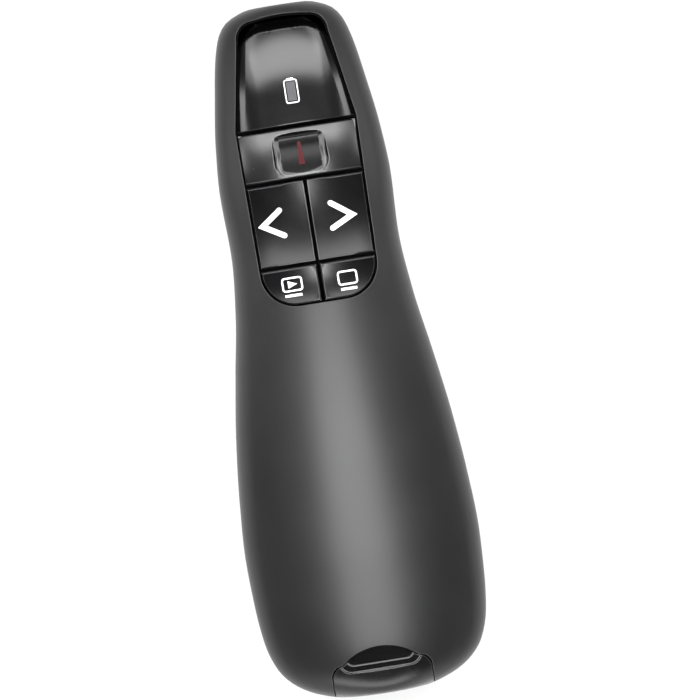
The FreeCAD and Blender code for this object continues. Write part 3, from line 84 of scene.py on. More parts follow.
def add_node(tree: bpy.types.NodeTree, kind: str, settings: dict[str, Any] | None = None,
             links: dict[str, bpy.types.NodeSocket] | None = None) -> bpy.types.Node:
    """Add one node, set its properties and inputs, and link sockets into it.

    Args:
        tree: the node tree that takes it.
        kind: the node's type name.
        settings: property names or input names with their values.
        links: input names with the sockets that feed them.

    Returns:
        The new node.
    """
    node = tree.nodes.new(kind)
    for name, value in (settings or {}).items():
        if hasattr(node, name) and name not in node.inputs:
            setattr(node, name, value)
        else:
            node.inputs[name].default_value = value
    for name, socket in (links or {}).items():
        tree.links.new(socket, node.inputs[name])
    return node


# Finishes


@dataclass(frozen=True)
class Grain:
    """A fine surface pattern.

    Args:
        pitch_mm: size of one grain.
        depth_mm: height of the relief.
        detail: octaves of the noise.
    """

    pitch_mm: float
    depth_mm: float
    detail: float = 2.0


@dataclass(frozen=True)
class Finish:
    """A dielectric or metal surface with two shades, a roughness range and a grain.

    Args:
        name: what the material is and how its surface was made.
        dark: the darker shade as sRGB hex.
        light: the lighter shade as sRGB hex.
        rough: lowest and highest roughness.
        patch_mm: size of the soft patches in shade and roughness.
        grain: relief of the surface.
        metallic: 1 for bare metal.
        ior: index of refraction of a dielectric.
        transmission: share of light let through.
        stretch: how much longer the patches and grain run along Y, as on brushed metal.
        gloss: specular level, 0.5 for an ordinary dielectric.
        edge_mm: radius that the mould or wear has rounded the edges to.
        edge_highlight: colour of the painted highlight along the rounded edges as sRGB hex.
        band: middle and half length, in millimetres along Y, of a printed band.
        band_shade: colour of the band as sRGB hex.
        tracks_mm: pitch of the copper tracks that show through a solder mask.
    """

    name: str
    dark: str
    light: str
    rough: tuple[float, float]
    patch_mm: float
    grain: Grain
    metallic: float = 0.0
    ior: float = 1.5
    transmission: float = 0.0
    stretch: float = 1.0
    gloss: float = 0.5
    edge_mm: float = 0.0
    edge_highlight: str = ""
    band: Point | None = None
    band_shade: str = ""
    tracks_mm: float = 0.0

    def build(self) -> bpy.types.Material:
        """Make the material, or fetch the one already made under this name.

        Returns:
            The material.
        """
        made = bpy.data.materials.get(self.name)
        if made is not None:
            return made
        material = bpy.data.materials.new(self.name)
        material.use_nodes = True
        tree = material.node_tree
        tree.nodes.clear()
        place = add_node(tree, "ShaderNodeTexCoord")
        spread = add_node(tree, "ShaderNodeMapping", {"Scale": (1.0, 1.0 / self.stretch, 1.0)},
                          {"Vector": place.outputs["Object"]})
        patches = add_node(tree, "ShaderNodeTexNoise",
                           {"Scale": 1.0 / (self.patch_mm * MM), "Detail": PATCH_DETAIL},
                           {"Vector": spread.outputs["Vector"]})
        shade = add_node(tree, "ShaderNodeMix",
                         {"data_type": "RGBA", "A": linear(self.dark), "B": linear(self.light)},
                         {"Factor": patches.outputs["Fac"]})
        colour = colour_of(shade)
        if self.tracks_mm:
            colour = self.tracked(tree, place.outputs["Object"], colour)
        if self.band is not None:
            colour = self.banded(tree, place.outputs["Object"], colour)
        rough = add_node(tree, "ShaderNodeMapRange", {"To Min": self.rough[0], "To Max": self.rough[1]},
                         {"Value": patches.outputs["Fac"]})
        relief = add_node(tree, "ShaderNodeTexNoise",
                          {"Scale": 1.0 / (self.grain.pitch_mm * MM), "Detail": self.grain.detail},
                          {"Vector": spread.outputs["Vector"]})
        bump = add_node(tree, "ShaderNodeBump", {"Strength": 1.0, "Distance": self.grain.depth_mm * MM},
                        {"Height": relief.outputs["Fac"]})
        if self.edge_mm:
            rolled = add_node(tree, "ShaderNodeBevel", {"samples": BEVEL_SAMPLES, "Radius": self.edge_mm * MM})
            tree.links.new(rolled.outputs["Normal"], bump.inputs["Normal"])
            # Painted highlight: the rounded edges are lightened towards a lighter colour
            if self.edge_highlight:
                colour = self.paint_edge_highlight(tree, rolled.outputs["Normal"], colour)
        shader = add_node(tree, "ShaderNodeBsdfPrincipled",
                          {"Metallic": self.metallic, "IOR": self.ior,
                           "Transmission Weight": self.transmission, "Specular IOR Level": self.gloss},
                          {"Base Color": colour, "Roughness": rough.outputs["Result"],
                           "Normal": bump.outputs["Normal"]})
        add_node(tree, "ShaderNodeOutputMaterial", {}, {"Surface": shader.outputs["BSDF"]})
        return material

    def paint_edge_highlight(self, tree: bpy.types.NodeTree, rolled: bpy.types.NodeSocket,
               colour: bpy.types.NodeSocket) -> bpy.types.NodeSocket:
        """Paint a highlight on the rounded edges, lightening them where the rolled normal turns away from the
        face's own.

        Args:
            tree: the material's nodes.
            rolled: the normal of the rounded edges.
            colour: the colour so far.

        Returns:
            The colour with the painted edge highlight.
        """
        flat = add_node(tree, "ShaderNodeNewGeometry")
        likeness = add_node(tree, "ShaderNodeVectorMath", {"operation": "DOT_PRODUCT"})
        tree.links.new(rolled, likeness.inputs[0])
        tree.links.new(flat.outputs["Normal"], likeness.inputs[1])
        share = add_node(tree, "ShaderNodeMapRange",
                         {"From Min": 0.99, "From Max": 0.86, "To Min": 0.0, "To Max": 0.8},
                         {"Value": likeness.outputs["Value"]})
        mixed = add_node(tree, "ShaderNodeMix", {"data_type": "RGBA", "B": linear(self.edge_highlight)},
                         {"Factor": share.outputs["Result"], "A": colour})
        return colour_of(mixed)

    def banded(self, tree: bpy.types.NodeTree, place: bpy.types.NodeSocket,
               colour: bpy.types.NodeSocket) -> bpy.types.NodeSocket:
        """Print the band round the piece.

        Args:
            tree: the material's nodes.
            place: the object coordinates.
            colour: the colour so far.

        Returns:
            The colour with the band.
        """
        middle, half = self.band
        along = add_node(tree, "ShaderNodeSeparateXYZ", {}, {"Vector": place})
        inside = add_node(tree, "ShaderNodeMath", {"operation": "COMPARE"})
        tree.links.new(along.outputs["Y"], inside.inputs[0])
        inside.inputs[1].default_value = middle * MM
        inside.inputs[2].default_value = half * MM
        mixed = add_node(tree, "ShaderNodeMix", {"data_type": "RGBA", "B": linear(self.band_shade)},
                         {"Factor": inside.outputs["Value"], "A": colour})
        return colour_of(mixed)

    def tracked(self, tree: bpy.types.NodeTree, place: bpy.types.NodeSocket,
                colour: bpy.types.NodeSocket) -> bpy.types.NodeSocket:
        """Let copper tracks show as paler lines under the mask.

        Args:
            tree: the material's nodes.
            place: the object coordinates.
            colour: the colour so far.

        Returns:
            The colour with the tracks.
        """
        grid = add_node(tree, "ShaderNodeTexBrick",
                        {"Scale": 1.0 / (self.tracks_mm * MM), "Mortar Size": 0.12, "Mortar Smooth": 0.2,
                         "Brick Width": 2.6, "Row Height": 0.5},
                        {"Vector": place})
        mixed = add_node(tree, "ShaderNodeMix", {"data_type": "RGBA", "B": linear(self.light)},
                         {"Factor": grid.outputs["Fac"], "A": colour})
        return colour_of(mixed)


def colour_of(mix: bpy.types.Node) -> bpy.types.NodeSocket:
    """Find the colour output of a mix node."""
    return next(socket for socket in mix.outputs if socket.type == "RGBA")


class Finishes(Enum):
    """Every finish on the clicker."""

    # Rubber-like paint over moulded ABS: nearly no mirror, a wide grey sheen, a grain finer than a hair, a
    # painted highlight on its rounded edges
    SOFT_TOUCH = Finish("soft_touch_paint_on_moulded_abs", "121213", "171718", (0.38, 0.43), 9.0,
                        Grain(0.16, 0.005), gloss=0.4, edge_mm=0.22, edge_highlight="4a4a4c")
    # ABS moulded in a mirror-polished tool: deep black, soft-edged lamps and a faint flow waviness, a painted
    # highlight on its rounded edges
    GLOSS_ABS = Finish("abs_moulded_in_polished_tool", "040405", "070708", (0.15, 0.2), 6.0,
                       Grain(3.0, 0.002), gloss=0.7, edge_mm=0.25, edge_highlight="3a3a3c")
    # Gloss keys handled daily: the same black, a little softer where thumbs have polished it unevenly, a
    # painted highlight on its rounded edges
    KEY_ABS = Finish("gloss_abs_key_moulding", "040405", "080809", (0.17, 0.24), 3.0, Grain(1.4, 0.002),
                     gloss=0.45, edge_mm=0.25, edge_highlight="707072")
    # Inside of the key pocket, masked from the paint: bare black plastic, coloured near black as painted shade
    # for the gaps between the keys
    BARE_ABS_PAINTED_SHADE = Finish("bare_abs_with_painted_shade", "020202", "040404", (0.6, 0.7), 3.0,
                      Grain(0.3, 0.003), gloss=0.05)
    # The receiver, from a mirror-polished tool: black like glass, lamps show only where they face it, a
    # painted highlight on its rounded edges
    MIRROR_ABS = Finish("abs_moulded_in_mirror_polished_tool", "030303", "050505", (0.06, 0.09), 6.0,
                        Grain(3.0, 0.001), edge_mm=0.15, edge_highlight="767678")
    # Fine spark-eroded tool face: a satin key that spreads the lamp into a gradient, a painted highlight on
    # its rounded edges
    SATIN_ABS = Finish("satin_abs_spark_eroded", "0b0b0c", "101011", (0.24, 0.29), 3.0, Grain(0.14, 0.003),
                       gloss=1.0, edge_mm=0.25, edge_highlight="707072")
    # The fingertip bed: a darker black than the key, with a weaker mirror, so a lamp leaves only one faint
    # band
    DARK_BED_ABS = Finish("abs_bed_darker_than_key", "020203", "050506", (0.2, 0.26), 2.0,
                       Grain(0.8, 0.002), gloss=0.22)
    # The receiver's lip: between gloss and satin, so the tail lamp fades across it, a painted highlight on its
    # rounded edges
    LIP_ABS = Finish("abs_lip_fine_polished", "060607", "0a0a0b", (0.24, 0.3), 3.0, Grain(0.2, 0.001),
                     edge_mm=0.15, edge_highlight="4a4a4c")
    # Dyed acrylic insert, seen at the bottom of a dark scoop
    RED_ACRYLIC = Finish("red_dyed_acrylic_insert", "380307", "46040a", (0.35, 0.45), 1.0,
                         Grain(0.3, 0.002), gloss=0.2)
    # Pad-printed ink: flat white with a slightly ragged film
    WHITE_INK = Finish("pad_printed_white_ink", "f0f0f0", "fcfcfc", (0.5, 0.65), 0.8, Grain(0.1, 0.002))
    # The same ink thinned to a grey tint
    GREY_INK = Finish("pad_printed_grey_ink", "4a4a4c", "525254", (0.5, 0.6), 1.2,
                      Grain(0.1, 0.001), gloss=0.2)
    # Glass-filled nylon, as moulded: dull with a faint mottling
    NYLON = Finish("glass_filled_nylon_moulding", "1a1a1b", "232324", (0.55, 0.7), 2.0, Grain(0.3, 0.01))
    # Solder mask over laminate: glossy green over a woven base
    SOLDER_MASK = Finish("solder_masked_glass_laminate", "0b3a1c", "1a6330", (0.2, 0.32), 1.5,
                         Grain(0.8, 0.004), tracks_mm=1.3)
    # Transfer-moulded epoxy of a chip body
    CHIP_EPOXY = Finish("transfer_moulded_epoxy", "151516", "1c1c1d", (0.6, 0.75), 0.8, Grain(0.1, 0.004))
    # Nickel-plated spring steel, stamped: soft mirror with rolling lines along the strip
    NICKEL_STEEL = Finish("nickel_plated_stamped_steel", "a9a9ab", "c4c4c6", (0.22, 0.36), 1.5,
                          Grain(0.2, 0.002), metallic=1.0, stretch=6.0)
    # Zinc-plated screw: greyer and duller than nickel
    ZINC_STEEL = Finish("zinc_plated_cold_headed_steel", "6f7072", "8b8c8f", (0.34, 0.46), 0.8,
                        Grain(0.2, 0.004), metallic=1.0)
    # Brass turned on an automatic lathe: fine rings round the axis
    TURNED_BRASS = Finish("free_cutting_brass_turned", "a9823a", "c9a457", (0.24, 0.34), 0.6,
                          Grain(0.15, 0.004), metallic=1.0)
    # Matt tin over copper leads and end caps
    TIN = Finish("matt_tin_plating", "9b9b9c", "b4b4b5", (0.38, 0.5), 0.6, Grain(0.1, 0.003), metallic=1.0)
    # Hard gold on the plug's contacts
    HARD_GOLD = Finish("hard_gold_plating", "c89a3c", "e2b85c", (0.2, 0.3), 0.8,
                       Grain(0.1, 0.001), metallic=1.0)
    # Clear acrylic lens or light guide
    CLEAR_ACRYLIC = Finish("clear_acrylic_moulding", "e8eeee", "f4f8f8", (0.04, 0.08), 2.0, Grain(1.0, 0.001),
                           ior=1.49, transmission=1.0)
    # Milky liquid-crystal polymer of the plug's tongue and the switch plungers
    WHITE_LCP = Finish("liquid_crystal_polymer_moulding", "c9c8c2", "dad9d4", (0.4, 0.5), 1.0,
                       Grain(0.3, 0.003))
    # Shrink sleeve over a drawn steel can: satin black film, soft puckers, a copper band at the plus end
    SLEEVE_PLUS_NOSE = Finish("printed_shrink_sleeve_plus_to_nose", "141416", "1d1d20", (0.22, 0.32), 6.0,
                              Grain(2.2, 0.01), band=(-12.0, 5.5), band_shade="a86a34")
    # The same sleeve on the cell that lies the other way round
    SLEEVE_PLUS_TAIL = Finish("printed_shrink_sleeve_plus_to_tail", "141416", "1d1d20", (0.22, 0.32), 6.0,
                              Grain(2.2, 0.01), band=(-44.0, 5.5), band_shade="a86a34")

    def build(self) -> bpy.types.Material:
        """Make or fetch this finish's material."""
        return self.value.build()


def dress(finish: Finishes, *nodes: str) -> None:
    """Give CAD nodes their finish and let their curved faces shade smoothly.

    Args:
        finish: what they are made of.
        nodes: their names.
    """
    for node in nodes:
        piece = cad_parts[node]
        piece.data.materials.clear()
        piece.data.materials.append(finish.build())
        shade_curves(piece, CASE_CREASE)


def shade_curves(piece: bpy.types.Object, crease: float) -> None:
    """Shade a piece smoothly across every edge that is flatter than the crease angle in degrees."""
    modifier = piece.modifiers.new("even_shading", "NODES")
    modifier.node_group = shading_group(crease)


def shading_group(crease: float) -> bpy.types.NodeTree:
    """Make or fetch the geometry node group that welds facets and marks creases.

    Args:
        crease: angle in degrees above which an edge stays sharp.

    Returns:
        The node group.
    """
    name = f"even_shading_{crease:.0f}"
    group = bpy.data.node_groups.get(name)
    if group is not None:
        return group
    group = bpy.data.node_groups.new(name, "GeometryNodeTree")
    group.interface.new_socket("Geometry", in_out="INPUT", socket_type="NodeSocketGeometry")
    group.interface.new_socket("Geometry", in_out="OUTPUT", socket_type="NodeSocketGeometry")
    source = add_node(group, "NodeGroupInput")
    weld = add_node(group, "GeometryNodeMergeByDistance", {"Distance": WELD},
                    {"Geometry": source.outputs["Geometry"]})
    faces = add_node(group, "GeometryNodeSetShadeSmooth", {"domain": "FACE"},
                     {"Geometry": weld.outputs["Geometry"]})
    angle = add_node(group, "GeometryNodeInputMeshEdgeAngle")
    sharp = add_node(group, "FunctionNodeCompare", {"operation": "GREATER_THAN", "B": math.radians(crease)},
                     {"A": angle.outputs["Unsigned Angle"]})
    edges = add_node(group, "GeometryNodeSetShadeSmooth", {"domain": "EDGE", "Shade Smooth": False},
                     {"Geometry": faces.outputs["Geometry"], "Selection": sharp.outputs["Result"]})
    add_node(group, "NodeGroupOutput", {}, {"Geometry": edges.outputs["Geometry"]})
    return group


# Printed signs


@dataclass(frozen=True)
class Stroke:
    """One printed line of a sign, with mitred corners.

    Args:
        path: the points of its middle line, in millimetres on the plan.
        width: its breadth in millimetres.
        closed: whether the last point joins the first.
        rounded: whether its free ends are round.
    """

    path: tuple[Point, ...]
    width: float
    closed: bool = False
    rounded: bool = True

    def stations(self, step: float = 0.4) -> list[tuple[Vector, Vector]]:
        """List points along the line, each with the offset to its left edge.

        Args:
            step: longest distance between two points, in millimetres.

        Returns:
            Pairs of a point and its offset.
        """
        half = self.width / 2
        points = [Vector(p) for p in self.path]
        count = len(points)
        runs = [(points[(k + 1) % count] - points[k]).normalized() for k in range(count)]
        found: list[tuple[Vector, Vector]] = []
        margins = []
        for k in range(count):
            before, after = runs[k - 1], runs[k]
            if not self.closed and k in (0, count - 1):
                along = after if k == 0 else before
                found.append((points[k], Vector((-along.y, along.x)) * half))
                margins.append(0.0)
                continue
            normal = (Vector((-before.y, before.x)) + Vector((-after.y, after.x))).normalized()
            stretch = max(0.25, normal.dot(Vector((-after.y, after.x))))
            found.append((points[k], normal * half / stretch))
            margins.append(half * math.sqrt(1 - stretch * stretch) / stretch + HAIR)
        line: list[tuple[Vector, Vector]] = []
        for k in range(count if self.closed else count - 1):
            a, b = points[k], points[(k + 1) % count]
            line.append(found[k])
            length = (b - a).length
            near, far = margins[k] / length, 1 - margins[(k + 1) % count] / length
            side = Vector((-runs[k].y, runs[k].x)) * half
            cuts = max(1, round(length / step))
            line += [(a.lerp(b, j / cuts), side) for j in range(1, cuts) if near < j / cuts < far]
        if not self.closed:
            line.append(found[-1])
        return line

    def outline(self, mesh: bmesh.types.BMesh) -> None:
        """Lay the stroke down as one ribbon, with a fan at each round end.

        Args:
            mesh: the mesh that takes it, flat on the plan.
        """
        line = self.stations()
        left = [mesh.verts.new((*(p + side), 0.0)) for p, side in line]
        right = [mesh.verts.new((*(p - side), 0.0)) for p, side in line]
        count = len(line)
        for k in range(count if self.closed else count - 1):
            following = (k + 1) % count
            mesh.faces.new([right[k], right[following], left[following], left[k]])
        if self.closed or not self.rounded:
            return
        cuts = 8
        ends = ((line[0], left[0], right[0], 1), (line[-1], right[-1], left[-1], -1))
        for (centre, side), first, last, turn in ends:
            arc = [first]
            for k in range(1, cuts):
                angle = math.pi * k / cuts
                outward = Vector((-side.y, side.x)) * turn
                spot = centre + side * turn * math.cos(angle) + outward * math.sin(angle)
                arc.append(mesh.verts.new((*spot, 0.0)))
            mesh.faces.new(arc + [last])


@dataclass(frozen=True)
class Patch:
    """A filled area of a sign, laid down as thin rows so that it follows a curved surface.

    Args:
        left: the points of its left edge from tail to nose, in millimetres on the plan.
        right: the points of its right edge, as many.
    """

    left: tuple[Point, ...]
    right: tuple[Point, ...]

    def outline(self, mesh: bmesh.types.BMesh, columns: int = 6) -> None:
        """Lay the patch down as a grid between its two edges.

        Args:
            mesh: the mesh that takes it, flat on the plan.
            columns: how many faces wide the grid is.
        """
        rows = []
        for a, b in zip(self.left, self.right):
            spots = [Vector(a).lerp(Vector(b), k / columns) for k in range(columns + 1)]
            rows.append([mesh.verts.new((*spot, 0.0)) for spot in spots])
        for low, high in zip(rows, rows[1:]):
            for k in range(columns):
                mesh.faces.new([low[k], low[k + 1], high[k + 1], high[k]])


def rounded_box(x: Point, y: Point, corner: float, steps: int = 4) -> tuple[Point, ...]:
    """Lay out a rectangle with round corners, counter-clockwise.

    Args:
        x: its left and right edges.
        y: its tail and nose edges.
        corner: radius of its corners.
        steps: straight runs to each corner.

    Returns:
        Its points.
    """
    centres = ((x[1] - corner, y[0] + corner, -90), (x[1] - corner, y[1] - corner, 0),
               (x[0] + corner, y[1] - corner, 90), (x[0] + corner, y[0] + corner, 180))
    points = []
    for across, along, start in centres:
        for k in range(steps + 1):
            turn = math.radians(start + 90 * k / steps)
            points.append((across + corner * math.cos(turn), along + corner * math.sin(turn)))
    return tuple(points)


def print_sign(name: str, marks: Iterable[Stroke | Patch], height: Height, body: str, ink: Finishes,
               film: float = 0.03) -> bpy.types.Object:
    """Print a sign on a crowned surface as a thin film of ink.

    Args:
        name: the piece's name.
        marks: its strokes and patches.
        height: the height of the surface over a point of the plan, in millimetres.
        body: the CAD body that carries it.
        ink: the finish of its ink.
        film: thickness of the film in millimetres.

    Returns:
        The sign's object.
    """
    mesh = bmesh.new()
    for mark in marks:
        mark.outline(mesh)
    for vertex in mesh.verts:
        x, y = vertex.co.x, vertex.co.y
        vertex.co = Vector((x, y, height(x, y) + film)) * MM
    return finish_piece(name, mesh, body, ink)


def finish_piece(name: str, mesh: bmesh.types.BMesh, body: str, finish: Finishes,
                 slot: str | None = None) -> bpy.types.Object:
    """Turn a finished mesh into a named piece that rides on its body.

    Args:
        name: the piece's name.
        mesh: its geometry, in metres, which is freed.
        body: the CAD body that carries it.
        finish: what it is made of.
        slot: not used.

    Returns:
        The new object.
    """
    bmesh.ops.recalc_face_normals(mesh, faces=mesh.faces)
    data = bpy.data.meshes.new(name)
    mesh.to_mesh(data)
    mesh.free()
    if "custom_normal" in data.attributes:
        data.attributes.remove(data.attributes["custom_normal"])
    data.materials.append(finish.build())
    piece = bpy.data.objects.new(name, data)
    bpy.context.scene.collection.objects.link(piece)
    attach(piece, body)
    LOG.info("piece %s: %d faces on %s", name, len(data.polygons), body)
    return piece


# Smooth forms


@dataclass(frozen=True)
class CaseForm:
    """The outer form of the case: three-centred arches above and below the parting, on rows along the case.

    Args:
        rows: place, half width, rise and drop of each row, in millimetres.
        parting: height of the parting line.
        crown_meeting: angle from level at which an upper arch's side and crown arcs meet, in degrees.
        belly_meeting: the same for a lower arch.
        crown_facets: facets of the CAD form along an upper side arc and half a crown arc.
        belly_facets: the same below the parting.
        reach: how near a point lies to the CAD form to belong to it.
        finer: how many times finer than the CAD form the smooth one is split.
        skin: how near the middle of a face lies to the smooth form to belong to it.
    """

    rows: tuple[tuple[float, float, float, float], ...] = (
        (62.5, 5.364, 5.376, 4.23), (62.002, 7.25, 6.4, 5.076), (60.75, 9.688, 7.424, 6.063),
        (58.751, 11.215, 8.064, 6.627), (55.003, 12.423, 8.448, 7.05), (47.499, 13.738, 8.96, 7.614),
        (38.75, 14.946, 9.472, 7.896), (30.001, 15.518, 10.112, 8.319), (19.374, 15.2, 10.752, 9.729),
        (8.747, 16.091, 11.52, 12.126), (-2.498, 17.893, 12.16, 14.1), (-13.749, 19.546, 12.608, 14.664),
        (-25.001, 20.67, 12.8, 14.805), (-35.0, 21.2, 12.8, 14.805), (-43.748, 20.882, 12.48, 14.735),
        (-50.625, 20.14, 11.904, 14.382), (-55.622, 18.486, 11.136, 13.395), (-58.998, 15.561, 10.112, 11.985),
        (-61.248, 11.3, 8.704, 9.87), (-62.252, 7.505, 7.296, 7.755), (-62.5, 4.367, 5.888, 4.794),
    )
    parting: float = 14.1
    crown_meeting: float = 50.0
    belly_meeting: float = 66.0
    crown_facets: tuple[int, int] = (5, 4)
    belly_facets: tuple[int, int] = (6, 3)
    reach: float = 0.012
    finer: int = 5
    skin: float = 0.1

    def radii(self, half: float, rise: float, meeting: float) -> Point:
        """Work out the arcs of an arch.

        Args:
            half: half width of the arch.
            rise: its height.
            meeting: angle at which its arcs meet, in degrees.

        Returns:
            Radii of the side arc and of the crown arc.
        """
        turn = math.radians(meeting)
        between = (half - rise) / (math.cos(turn) + math.sin(turn) - 1)
        side = half - between * math.cos(turn)
        return side, side + between

    def arch(self, half: float, rise: float, meeting: float, turn: float) -> Point:
        """Place a point on an arch.

        Args:
            half: half width of the arch.
            rise: its height.
            meeting: angle at which its arcs meet, in degrees.
            turn: the point's angle from level, in degrees.

        Returns:
            How far out and how far up the point is.
        """
        side, crown = self.radii(half, rise, meeting)
        angle = math.radians(turn)
        if turn <= meeting:
            return half - side + side * math.cos(angle), side * math.sin(angle)
        return crown * math.cos(angle), rise - crown + crown * math.sin(angle)

    def section(self, place: float) -> Point:
        """Look up the CAD form's upper arch at a place.

        Args:
            place: where along the case.

        Returns:
            Its half width and its rise.
        """
        for before, after in zip(self.rows, self.rows[1:]):
            if after[0] <= place <= before[0]:
                part = (before[0] - place) / (before[0] - after[0])
                return before[1] + (after[1] - before[1]) * part, before[2] + (after[2] - before[2]) * part
        raise ValueError(f"{place} lies outside the case")

    def crown(self, place: float, out: float = 0.0) -> float:
        """Work out the height of the case's top within the crown arc.

        Args:
            place: where along the case.
            out: how far from its middle.

        Returns:
            The height in millimetres.
        """
        half, rise = self.section(place)
        crown = self.radii(half, rise, self.crown_meeting)[1]
        return self.parting + rise - crown + math.sqrt(crown * crown - out * out)

    def turns(self, meeting: float, facets: tuple[int, int]) -> list[float]:
        """Split an arch's side arc and half its crown arc evenly.

        Args:
            meeting: angle at which the arcs meet, in degrees.
            facets: facets of the side arc and of half the crown arc.

        Returns:
            The angles in degrees, from level to upright.
        """
        side, middle = facets
        return ([meeting * k / side for k in range(side)]
                + [meeting + (90 - meeting) * k / middle for k in range(middle + 1)])

    def ring(self, row: Sequence[float], finer: int) -> list[Vector]:
        """Lay out the corner points of one cross-section, once round.

        Args:
            row: its place, half width, rise and drop.
            finer: how many times finer than the CAD form it is split.

        Returns:
            The points in millimetres, none below the floor.
        """
        place, half, rise, drop = row
        points: list[Vector] = []
        upper = (rise, self.crown_meeting, self.crown_facets, 1)
        lower = (drop, self.belly_meeting, self.belly_facets, -1)
        for height, meeting, facets, up in (upper, lower):
            angles = self.turns(meeting, (facets[0] * finer, facets[1] * finer))
            right = [self.arch(half, height, meeting, turn) for turn in angles]
            quarter = [Vector((out, place, max(0.0, self.parting + up * high))) for out, high in right]
            arc = quarter + [Vector((-spot.x, spot.y, spot.z)) for spot in quarter[-2::-1]]
            points += arc[:-1] if up > 0 else arc[:0:-1]
        return points

    def tree(self, rows: Sequence[Sequence[float]], finer: int) -> BVHTree:
        """Lay a skin through the rows, with both ends closed.

        Args:
            rows: the rows from nose to tail.
            finer: how many times finer than the CAD form each is split.

        Returns:
            A search tree over the skin, in millimetres.
        """
        rings = [self.ring(row, finer) for row in rows]
        count = len(rings[0])
        points = [spot for ring in rings for spot in ring]
        faces: list[tuple[int, ...]] = [tuple(range(count)), tuple(range(len(points) - count, len(points)))]
        for k in range(len(rings) - 1):
            for j in range(count):
                after = (j + 1) % count
                faces.append((k * count + j, k * count + after, (k + 1) * count + after, (k + 1) * count + j))
        return BVHTree.FromPolygons(points, faces)

    def smooth_tree(self) -> BVHTree:
        """Lay the smooth form's skin."""
        return self.tree(self.rounded_rows(), self.finer)

    def rounded_rows(self, steps: int = 10) -> list[list[float]]:
        """Run a monotone curve through the CAD rows that turns square at both ends.

        Args:
            steps: new rows to each span.

        Returns:
            The rows of the smooth form, from nose to tail.
        """
        spans = [math.hypot(a[0] - b[0], a[1] - b[1]) for a, b in zip(self.rows, self.rows[1:])]
        slopes = [monotone_slopes([row[k] for row in self.rows], spans) for k in range(4)]
        slopes[0][0] = slopes[0][-1] = 0.0
        found = []
        for k, span in enumerate(spans):
            for j in range(steps):
                share = j / steps
                found.append([hermite(self.rows[k][c], self.rows[k + 1][c], slopes[c][k] * span,
                                      slopes[c][k + 1] * span, share) for c in range(4)])
        return found + [list(self.rows[-1])]

    def fit(self, node: str, name: str, body: str, finish: Finishes, slot: str,
            longest: float = 1.6) -> bpy.types.Object:
        """Remake a faceted CAD moulding with the smooth outer form.

        Args:
            node: the CAD node it stands for.
            name: the piece's name.
            body: the CAD body that carries it.
            finish: what it is made of.
            slot: the record's material slot.
            longest: longest edge that is left on the outer form, in millimetres.

        Returns:
            The new piece.
        """
        flat = self.tree(self.rows, 1)
        smooth = self.smooth_tree()

        def on_form(spot: Vector) -> bool:
            """Tell whether a point in metres lies on the faceted form."""
            return flat.find_nearest(spot / MM, self.reach)[0] is not None

        mesh = refined(node, longest, on_form)
        for vertex in mesh.verts:
            if on_form(vertex.co):
                vertex.co = smooth.find_nearest(vertex.co / MM)[0] * MM
        piece = finish_piece(name, mesh, body, finish, slot)
        shade_curves(piece, CASE_CREASE)
        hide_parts(node)
        return piece

    def line_inside(self, piece: bpy.types.Object, finish: Finishes, wanted: Callable[[Vector], bool]) -> None:
        """Give the faces of a moulding that lie off the outer form another finish.

        Args:
            piece: the moulding.
            finish: the finish of its inside.
            wanted: whether a point in millimetres belongs to the lined part.
        """
        smooth = self.smooth_tree()

        def inside(spot: Vector) -> bool:
            """Tell whether a point in millimetres is to be lined."""
            return wanted(spot) and smooth.find_nearest(spot, self.skin)[0] is None

        line_faces(piece, finish, inside)


